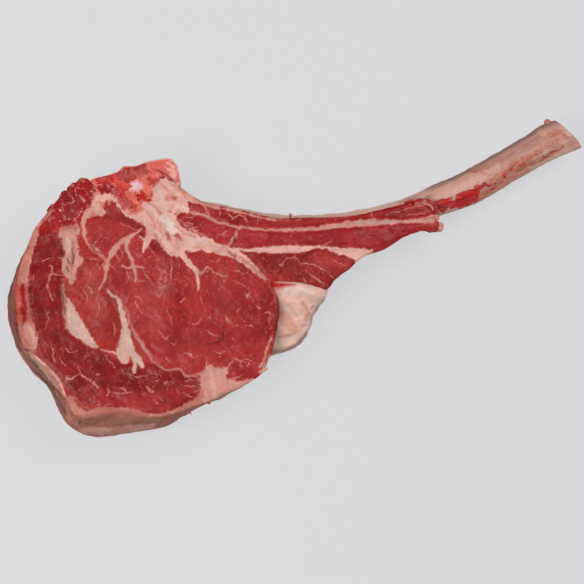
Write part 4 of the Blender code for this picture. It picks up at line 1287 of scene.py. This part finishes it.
def bone_material():
    """Scraped rib bone: pinkish grey, with streaks, red shreds of meat, painted shade along its upper edge
    and a porous sawn end.
    """
    g = Graph("scraped_bone")
    where = g.node("TexCoord").outputs["Object"]
    grain = g.field("grain", "Vector")
    painted_shade = g.field("painted_shade")
    streaks = g.noise(grain, 0.2, 4.0, 0.6, LONG_FIBRES)
    mottle = g.noise(where, 60.0, 4.0, 0.6)
    wander = g.add(g.times(g.centred(grain, 0.35, 4.0, 0.6, (0.22, 1.0, 1.0)), 1.6),
                   g.times(g.centred(grain, 1.0, 3.0, 0.6, (0.16, 1.0, 1.0)), 1.2),
                   g.times(g.centred(where, 260.0, 3.0, 0.6), 0.6))
    shreds = g.step(g.add(g.field("blood"), wander), 0.36, 0.7)
    patches = g.noise(grain, 0.3, 4.0, 0.65, SHREDS)
    scratches = g.noise(grain, 0.9, 3.0, 0.6, (0.5, 1.0, 1.0))

    colour = g.between(streaks, 0.35, 0.68, (202, 157, 143), (174, 119, 105))
    colour = g.mix(g.step(mottle, 0.5, 0.72, 0.0, 0.6), colour, tone((194, 150, 137)))
    for name, strength, mark in (
            ("fat", 0.85, tone((210, 163, 149))),
            ("skin", 0.9, tone((180, 120, 116))),
            ("vein", 1.0, g.between(scratches, 0.35, 0.65, (166, 86, 66), (196, 122, 94)))):
        patchy = g.step(patches, 0.3, 0.62, 0.35 * strength, strength)
        colour = g.mix(g.times(g.step(g.field(name), 0.1, 0.9), patchy), colour, mark)
    # Painted shade: the upper edge darkened in the colour
    upper = g.step(g.add(painted_shade, g.times(wander, 0.1)), 0.4, 0.98, 0.0, 0.9)
    colour = g.mix(upper, colour, tone((122, 88, 80)))
    # Pale pink where the bone lies hidden in the meat
    colour = g.mix(g.step(painted_shade, -2.0, -0.6, 0.8, 0.0), colour, tone((222, 174, 160)))
    meat = g.between(g.noise(grain, 0.45, 4.0, 0.65, SHREDS), 0.35, 0.65, (156, 30, 32), (204, 52, 50))
    sinews = g.step(g.noise(grain, 0.5, 3.0, 0.6, (0.2, 1.0, 1.0)), 0.54, 0.7, 0.0, 0.75)
    colour = g.mix(shreds, colour, g.mix(sinews, meat, tone((208, 120, 104))))
    pores = g.node("TexVoronoi", Vector=where, Scale=700.0).outputs["Distance"]
    spongy = g.between(pores, 0.15, 0.5, (120, 40, 36), (206, 140, 124))
    colour = g.mix(g.step(g.field("gloss"), 0.16, 0.26), colour, spongy)

    height = g.add(g.times(streaks, 0.7), g.times(g.noise(where, 420.0, 3.0, 0.6), 0.3),
                   g.times(shreds, 0.5), g.times(g.noise(grain, 0.5, 3.0, 0.6, FIBRES), 0.4))
    dull = g.step(mottle, 0.3, 0.7, 0.5, 0.32)
    return g.wet_surface(colour, height, 0.7, dull, 0.35, (0.0015, 0.0008, 0.0006))


# Flap of meat at the end of the backbone piece
FLAP = [(-110, 80), (-108.5, 74), (-102.3, 72.4), (-94.6, 70), (-87, 65.2), (-80, 63), (-78, 90), (-105, 92)]
# Fresh bone with marrow showing: its edge against the meat, its red places with their colours, its gristle
BACKBONE = [
    (-151, 68), (-147.5, 60), (-145, 56.5), (-138, 57.5), (-132, 57), (-128.5, 48.5), (-122, 44.5),
    (-114, 44), (-111, 50), (-104, 51.5), (-107, 56), (-104, 62), (-101, 68), (-96, 74), (-84, 68),
    (-80, 90), (-110, 95), (-150, 80),
]
BACKBONE_REDS = [
    ((196, 38, 36), [(-148, 68), (-144, 64.5), (-136, 63.5), (-131, 66), (-131, 72), (-140, 74),
        (-150, 70)]),
    ((214, 62, 56), [(-133, 70), (-131, 61), (-126, 59), (-121, 61), (-122, 66), (-126, 70)]),
    ((160, 22, 26), [(-146, 62.5), (-140, 63.2), (-134.5, 62.6), (-133, 59), (-136, 57.4), (-143, 57.4)]),
    ((190, 34, 34), [(-133, 61), (-129, 61.5), (-125, 57), (-125, 53.5), (-129, 54), (-132, 57)]),
    ((164, 24, 27), [(-125.2, 78), (-119.5, 78), (-111.8, 80), (-107, 78), (-106, 73.7), (-111.8, 70.7),
        (-116.6, 69.8), (-119.5, 66.8), (-127.2, 67.3), (-131, 71)]),
    ((178, 58, 54), [(-109, 68.3), (-106.1, 70.4), (-101.8, 67.8), (-103.2, 64.9), (-106.1, 62.9),
        (-108, 63.4)]),
    ((174, 36, 38), [(-128.1, 55), (-123.6, 53), (-118.9, 50), (-116, 46.3), (-115.7, 43.4), (-119.5, 44.6),
        (-125.2, 47.5), (-128.1, 50.4)]),
    ((196, 48, 44), [(-118.3, 55.4), (-112.8, 58.4), (-109.7, 57.3), (-109.4, 55.1), (-105.1, 51.7),
        (-110.9, 51.2), (-116.2, 52.4)]),
]
CARTILAGE = [
    (-126, 66), (-121, 66.5), (-115, 66), (-112, 64), (-113, 60.5), (-117, 58.5), (-121, 59.5), (-125, 62),
]


def paint_backbone(patch, points):
    """Sawn bone of the upper left: pinkish, with red marrow, blue-white gristle and a flap of meat."""
    x, y = points.T
    bent = points + 0.7 * stray(points, 5, 91) + 0.3 * stray(points, 2.2, 93)
    inside = area_depth(bent, BACKBONE)
    put_fat(patch, inside, "bone")
    for colour, outline in BACKBONE_REDS:
        depth = area_depth(bent, outline, 1.0)
        patch.lean = mixed(patch.lean, colour, smooth_step(-1.2, 0.3, depth))
        patch.fat = np.where(depth > -2, np.minimum(patch.fat, -2 * depth), patch.fat)
    glassy = 0.8 * smooth_step(-2.0, 3.0, area_depth(points, CARTILAGE, 1.0))
    patch.fat_colour = mixed(patch.fat_colour, (232, 208, 214), glassy)
    flap = area_depth(points, FLAP)
    share = smooth_step(-0.3, 0.3, flap)
    blush = smooth_step(-104, -90, x + 0.4 * (75 - y))
    inner = share * smooth_step(0.5, 3.0, flap)
    patch.lean = mixed(patch.lean, (240, 106, 98), share)
    patch.fat = np.where(share > 0.5, -1.2 + 1.6 * blush + 0.6 * waves(x, y, 6, 95), patch.fat)
    patch.fat_colour = mixed(patch.fat_colour, (242, 152, 140), share)
    patch.fat_colour = mixed(patch.fat_colour, (238, 168, 154), inner * blush)
    # Gristle and bone are shinier, and get painted highlight specks
    patch.gloss = np.maximum(patch.gloss, np.maximum(glassy, 0.25 * smooth_step(-2, 1, inside)))


# Where the backbone piece and the fat lobe touch the slice, and the slice just below the backbone
JOINED_CHINE = [
    (-150, 64), (-146, 70), (-136, 68), (-100, 70), (-87, 66.5), (-84, 60), (-100, 50), (-115, 40),
    (-130, 40), (-146, 54),
]
JOINED_TAIL = [
    (-30, 8), (28, 8), (27, -6), (23, -12), (8, -12), (-4, -12), (-7, -20), (-8, -32), (-11, -50),
    (-14, -57), (-26, -58),
]
BELOW_CHINE = [
    (-151, 66.5), (-146, 61), (-134, 57), (-126, 47), (-115, 49), (-106, 58), (-95, 62.5), (-84, 64),
    (-84, 40), (-150, 40),
]


# Spots on the sides of the backbone piece: colour, strength, low and high level, stretch, size and seed
CHINE_SPOTS = [
    ((178, 86, 76), 0.7, -0.4, 1.4, 0.5, 17, 96),
    ((144, 40, 40), 0.6, 0.7, 2.0, 0.6, 10, 97),
    ((214, 170, 156), 0.5, 0.3, 1.6, 0.4, 6, 98),
]


def make_chine(material):
    places, faces, home, kind, way, normal = slab(
        CHINE, THICKNESS, edge=1.6, top_step=0.9, rows=WALL_ROWS, joined=(JOINED_CHINE,))
    places = wall_bumps(places, normal, way, 0.7)
    flat = places[:, :2]
    high = smooth_step(RELIEF_FROM, RELIEF_FULL, places[:, 2] / THICKNESS)
    rough = bumpy(*flat.T, 81, [(0.4, 9), (0.3, 4), (0.14, 2)])
    flap = smooth_step(-0.4, 0.8, area_depth(flat, FLAP))
    free = smooth_step(0.0, 5.0, -area_depth(flat, BELOW_CHINE))
    places[:, 2] += high * (face_height(flat) + free * (rough * (1 - 0.6 * flap) + 0.4)
                            + 1.8 * flap * smooth_step(0, 0.4, free))
    patch = Patch(len(places))
    paint_face(patch, home)
    wall, height = kind == WALL, places[:, 2]
    patch.fat[wall] = 3.0
    bone = np.tile(paint((204, 146, 131)), (len(places), 1))
    for colour, strength, low, up, stretch, size, seed in CHINE_SPOTS:
        bone = mixed(bone, colour, strength * smooth_step(low, up, waves(way, stretch * height, size, seed)))
    rim = smooth_step(THICKNESS - 3, THICKNESS, height)[:, None]
    patch.fat_colour[wall] = (bone * (1 - rim) + patch.fat_colour * rim)[wall]
    patch.grain[wall] = np.column_stack([way, height, np.full(len(way), 300.0)])[wall]
    new_piece("backbone", places, faces, patch, material, ("chine_bone",))


# Tints on the fat lobe, in the same way as those above; the first is a painted highlight along its upper edge
TAIL_TINTS = [
    # Painted highlight: a pale band along the lobe's upper edge
    ((234, 200, 190), 0.9, [(-8, -14, 6), (2, -14, 6), (12, -16, 5)]),
    ((192, 38, 34), 1.0, [(-18, -9.5, 6), (-13, -10.6, 4.6), (-8, -10.2, 3), (0, -10, 1.2)]),
    ((212, 110, 98), 0.7, [(-13, -13.6, 2.4), (-8, -12.4, 1.6)]),
    ((214, 140, 126), 0.7, [(-14, -14, 3), (-11, -18, 2)]),
    ((211, 155, 135), 0.85, [(-9, -34, 9), (-4, -40, 9), (0, -44, 5)]),
    ((212, 158, 137), 0.85, [(6, -24, 3), (10, -30, 3), (8, -36, 3)]),
    ((218, 184, 174), 0.9, [(-13, -54, 4), (-4, -51.5, 4.4), (3, -48, 4), (8, -42.5, 4), (12, -36, 3.5),
        (15, -29, 3), (18, -23, 3), (22, -17, 2)]),
    ((196, 134, 120), 0.7, [(-12, -50, 1.4), (-3, -47.5, 1.4), (4, -43.5, 1.4), (8, -38, 1.2),
        (11, -31, 1.2)]),
    ((200, 140, 126), 0.6, [(-9, -22, 1.2), (-3, -27, 1.4), (2, -34, 1.2)]),
]


def make_tail(material):
    places, faces, _, kind, way, normal = slab(
        FAT_TAIL, TAIL_TOP, edge=2.5, top_step=1.0, rows=26, joined=(JOINED_TAIL,))
    places = wall_bumps(places, normal, way, 0.8)
    x, y = places[:, 0], places[:, 1]
    height = np.clip(places[:, 2] / TAIL_TOP, 0, 1)
    away = smooth_step(-12, 22, x) * smooth_step(-10, -24, y) + smooth_step(-30, -58, y)
    rough = bumpy(x, y, 101, [(0.3, 14), (0.12, 5)])
    lifted = 6.5 * smooth_step(-34, -14, y)
    places[:, 2] += height * (rough - TAIL_SLOPE * away + lifted)
    places[places[:, 2] < 0.3, 2] = 0
    patch = Patch(len(places))
    patch.fat[:] = 4.0
    patch.fat_colour[:] = paint((229, 188, 173))
    patch.fat_colour = tinted(patch.fat_colour, as_seen(places), TAIL_TINTS, -1.5, 1.5)
    patch.fat_colour[(kind == WALL) & (places[:, 2] < TAIL_TOP - 8)] = paint((210, 160, 146))
    patch.grain = np.column_stack([x, y, np.zeros(len(x))])
    new_piece("fat_lobe", places, faces, patch, material, ("fat_tail",))


# Shreds that stick out: colour, whether it is fat, and stations x, y, z, radius
SCRAPS = [
    ((160, 38, 38), False, [(84, 55, 36, 1.2), (91, 56.8, 36.4, 1.6), (98.5, 56.4, 36.4, 1.7),
        (104, 55, 35.8, 1.8), (106.6, 52, 35.2, 1.7), (105.6, 47.5, 35.6, 1.5)]),
    ((208, 138, 126), True, [(91, 55, 36.8, 0.8), (98, 54.4, 37, 1.1), (102.4, 53, 36.8, 1.1),
        (104, 50, 36.4, 0.9)]),
    ((206, 142, 128), True, [(97, 44.2, 37, 1.5), (103, 44.6, 36.8, 1.9), (107.5, 44.4, 35.6, 1.8)]),
    ((172, 46, 46), False, [(98, 41, 33, 3.4), (102.5, 38.6, 32.5, 3.8), (106, 37.6, 32, 3.6)]),
    ((216, 152, 140), True, [(106.4, 38.2, 32, 3.4), (109.6, 38.6, 32, 3.3)]),
    ((180, 92, 86), False, [(-2.7, 42.8, 37, 0.8), (-2.5, 44.4, 37.6, 1.1)]),
    ((214, 168, 148), True, [(-27, -76, 43.4, 1.0), (-22.5, -73.4, 43.4, 1.2), (-20, -72.6, 43.2, 0.7)]),
    ((182, 84, 78), False, [(-63.4, -97.8, 41, 0.7), (-61.6, -98.3, 41, 0.6)]),
    ((182, 84, 78), False, [(-77, -105, 41, 0.6), (-75.4, -105.7, 41, 0.5)]),
    ((146, 34, 36), False, [(-160.4, 64.2, 42.6, 1.4), (-157.6, 65.8, 43, 2.4), (-154.8, 66.4, 42.6, 1.6)]),
    ((140, 32, 34), False, [(-167, 60, 42.4, 1.2), (-164.2, 62.2, 42.8, 2.0), (-161.8, 63.6, 42.4, 1.3)]),
    ((150, 36, 36), False, [(-172.8, 53.4, 42.4, 1.0), (-171, 55.8, 42.8, 1.9), (-169.4, 57.6, 42.4, 1.2)]),
    ((146, 34, 36), False, [(-181.6, 43.2, 42.4, 0.9), (-179.8, 45.4, 42.8, 1.6), (-178, 47.4, 42.4, 1.0)]),
    ((200, 128, 116), True, [(201.5, 117, 20, 3.8), (197.6, 119.8, 21, 3.3), (195, 122.8, 21, 2.6),
        (194.4, 124.2, 21, 1.8)]),
]
SCRAP_SIDES, SCRAP_STEP = 16, 0.6


def scrap_rings(stations):
    """Rings round a smooth line of stations x, y, z, radius, with rounded ends."""
    line = smooth_line(stations, SCRAP_STEP, False)
    along = np.gradient(line[:, :3], axis=0)
    along /= np.linalg.norm(along, axis=1)[:, None]
    side = np.cross(along, (0, 0, 1.0))
    side /= np.linalg.norm(side, axis=1)[:, None]
    upper = np.cross(side, along)
    angles = np.linspace(0, 2 * math.pi, SCRAP_SIDES, endpoint=False)
    turns = np.radians(np.linspace(-85, 0, 5))[:-1]
    steps = [(0, math.sin(turn), math.cos(turn)) for turn in turns]
    steps += [(i, 0.0, 1.0) for i in range(len(line))]
    steps += [(len(line) - 1, -math.sin(turn), math.cos(turn)) for turn in turns[::-1]]
    rings = []
    for i, shift, share in steps:
        x, y, _, radius = line[i]
        lump = 1 + 0.16 * waves(2 * angles, np.full(SCRAP_SIDES, x + y), 4, 121)
        ring = (np.cos(angles) * lump)[:, None] * side[i] + (np.sin(angles) * lump)[:, None] * upper[i]
        rings.append(line[i, :3] + radius * (shift * along[i] + share * ring))
    return rings


def make_scraps(material):
    """Small shreds and loops of meat and fat at the edges, all in one piece."""
    rings, faces, parts = [], [], []
    for colour, fatty, stations in SCRAPS:
        found = scrap_rings(stations)
        start = len(rings) * SCRAP_SIDES
        rings += found
        parts += [(colour, fatty)] * len(found)
        end = (len(rings) - 1) * SCRAP_SIDES
        faces += ring_faces(len(found), SCRAP_SIDES, start)
        faces += [tuple(range(start, start + SCRAP_SIDES))[::-1], tuple(range(end, end + SCRAP_SIDES))]
    places = np.vstack(rings)
    patch = Patch(len(places))
    for i, (colour, fatty) in enumerate(parts):
        rows = slice(i * SCRAP_SIDES, (i + 1) * SCRAP_SIDES)
        patch.lean[rows] = paint(colour)
        patch.fat_colour[rows] = paint(colour if fatty else (206, 130, 118))
        patch.fat[rows] = 3.0 if fatty else -0.9
    patch.fat += 0.7 * waves(places[:, 0], places[:, 1] + places[:, 2], 5, 122)
    patch.grain = places.copy()
    # Wet shreds: shinier, with painted highlight specks
    patch.gloss[:] = 0.6
    new_piece("shreds", places, faces, patch, material)


FLOOR_HALF, FLOOR_HEIGHT, FLOOR_GLOW = 3.0, -0.0002, 0.81


def make_floor():
    """Pale floor that glows a little, as the photograph's plain backdrop does."""
    corners = [(-1, -1), (1, -1), (1, 1), (-1, 1)]
    mesh = bpy.data.meshes.new("floor")
    mesh.from_pydata([(x * FLOOR_HALF, y * FLOOR_HALF, FLOOR_HEIGHT) for x, y in corners], [], [(0, 1, 2, 3)])
    floor = bpy.data.objects.new("floor", mesh)
    bpy.context.scene.collection.objects.link(floor)
    mesh.materials.append(Graph("pale_floor").finish({
        "Base Color": tuple(linear((96, 96, 97))), "Roughness": 1.0, "Specular IOR Level": 0.0,
        "Emission Color": tuple(linear((218, 218, 220))), "Emission Strength": FLOOR_GLOW}))


WORLD_LIGHT = 0.3
# Lights that point at the origin: place, side and power
LIGHTS = {
    "key": ((-0.75, -0.35, 1.2), 0.8, 15.0),
    "fill": ((0.75, 0.5, 1.2), 0.8, 9.5),
    "spark": ((0.3, 0.62, 1.2), 0.14, 0.6),
}


def make_lights():
    world = bpy.data.worlds.new("studio")
    bpy.context.scene.world = world
    world.use_nodes = True
    background = world.node_tree.nodes["Background"]
    background.inputs["Color"].default_value = (1, 1, 1, 1)
    background.inputs["Strength"].default_value = WORLD_LIGHT
    for name, (place, side, power) in LIGHTS.items():
        light = bpy.data.lights.new(name, "AREA")
        light.shape = "RECTANGLE"
        light.size = light.size_y = side
        light.energy = power
        obj = bpy.data.objects.new(name, light)
        obj.location = place
        obj.rotation_euler = (-Vector(place)).to_track_quat("-Z", "Y").to_euler()
        bpy.context.scene.collection.objects.link(obj)


# Camera: lens and sensor in millimetres, side of the picture in pixels, and millimetres to a pixel
LENS, SENSOR, SIDE, SCALE = 150.0, 36.0, 584, 0.735
TARGET = (-1.9, -15.5, 45.0)
TILT_X, TILT_Y = math.radians(4.0), math.radians(11.0)


def make_camera():
    distance = SCALE * SIDE * LENS / SENSOR * MM
    back = Vector((-math.sin(TILT_X), -math.sin(TILT_Y), 0.0))
    back.z = math.sqrt(1 - back.length_squared)
    up = (Vector((0, 1, 0)) - back.y * back).normalized()
    right = up.cross(back)
    target = Vector(((TARGET[0] - CENTRE[0]) * MM, (TARGET[1] - CENTRE[1]) * MM, TARGET[2] * MM))
    camera = bpy.data.cameras.new("camera")
    camera.lens, camera.sensor_width = LENS, SENSOR
    obj = bpy.data.objects.new("camera", camera)
    turn = Matrix((right, up, back)).transposed().to_4x4()
    obj.matrix_world = Matrix.Translation(target + distance * back) @ turn
    bpy.context.scene.collection.objects.link(obj)
    bpy.context.scene.camera = obj


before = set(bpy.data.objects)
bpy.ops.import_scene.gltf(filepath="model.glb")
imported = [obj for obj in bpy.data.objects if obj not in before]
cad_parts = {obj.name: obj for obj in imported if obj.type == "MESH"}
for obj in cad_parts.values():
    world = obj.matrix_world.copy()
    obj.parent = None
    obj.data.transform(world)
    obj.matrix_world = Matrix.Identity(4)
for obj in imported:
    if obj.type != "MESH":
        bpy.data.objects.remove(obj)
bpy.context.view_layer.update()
bpy.context.scene.view_settings.view_transform = "Standard"
flesh = flesh_material("raw_flesh")
make_steak(flesh)
make_chine(flesh_material("backbone_flesh", 0.34))
make_tail(flesh_material("fat_flesh", 0.46))
make_rib(bone_material())
make_scraps(flesh)
make_floor()
make_lights()
make_camera()
bpy.context.view_layer.update()
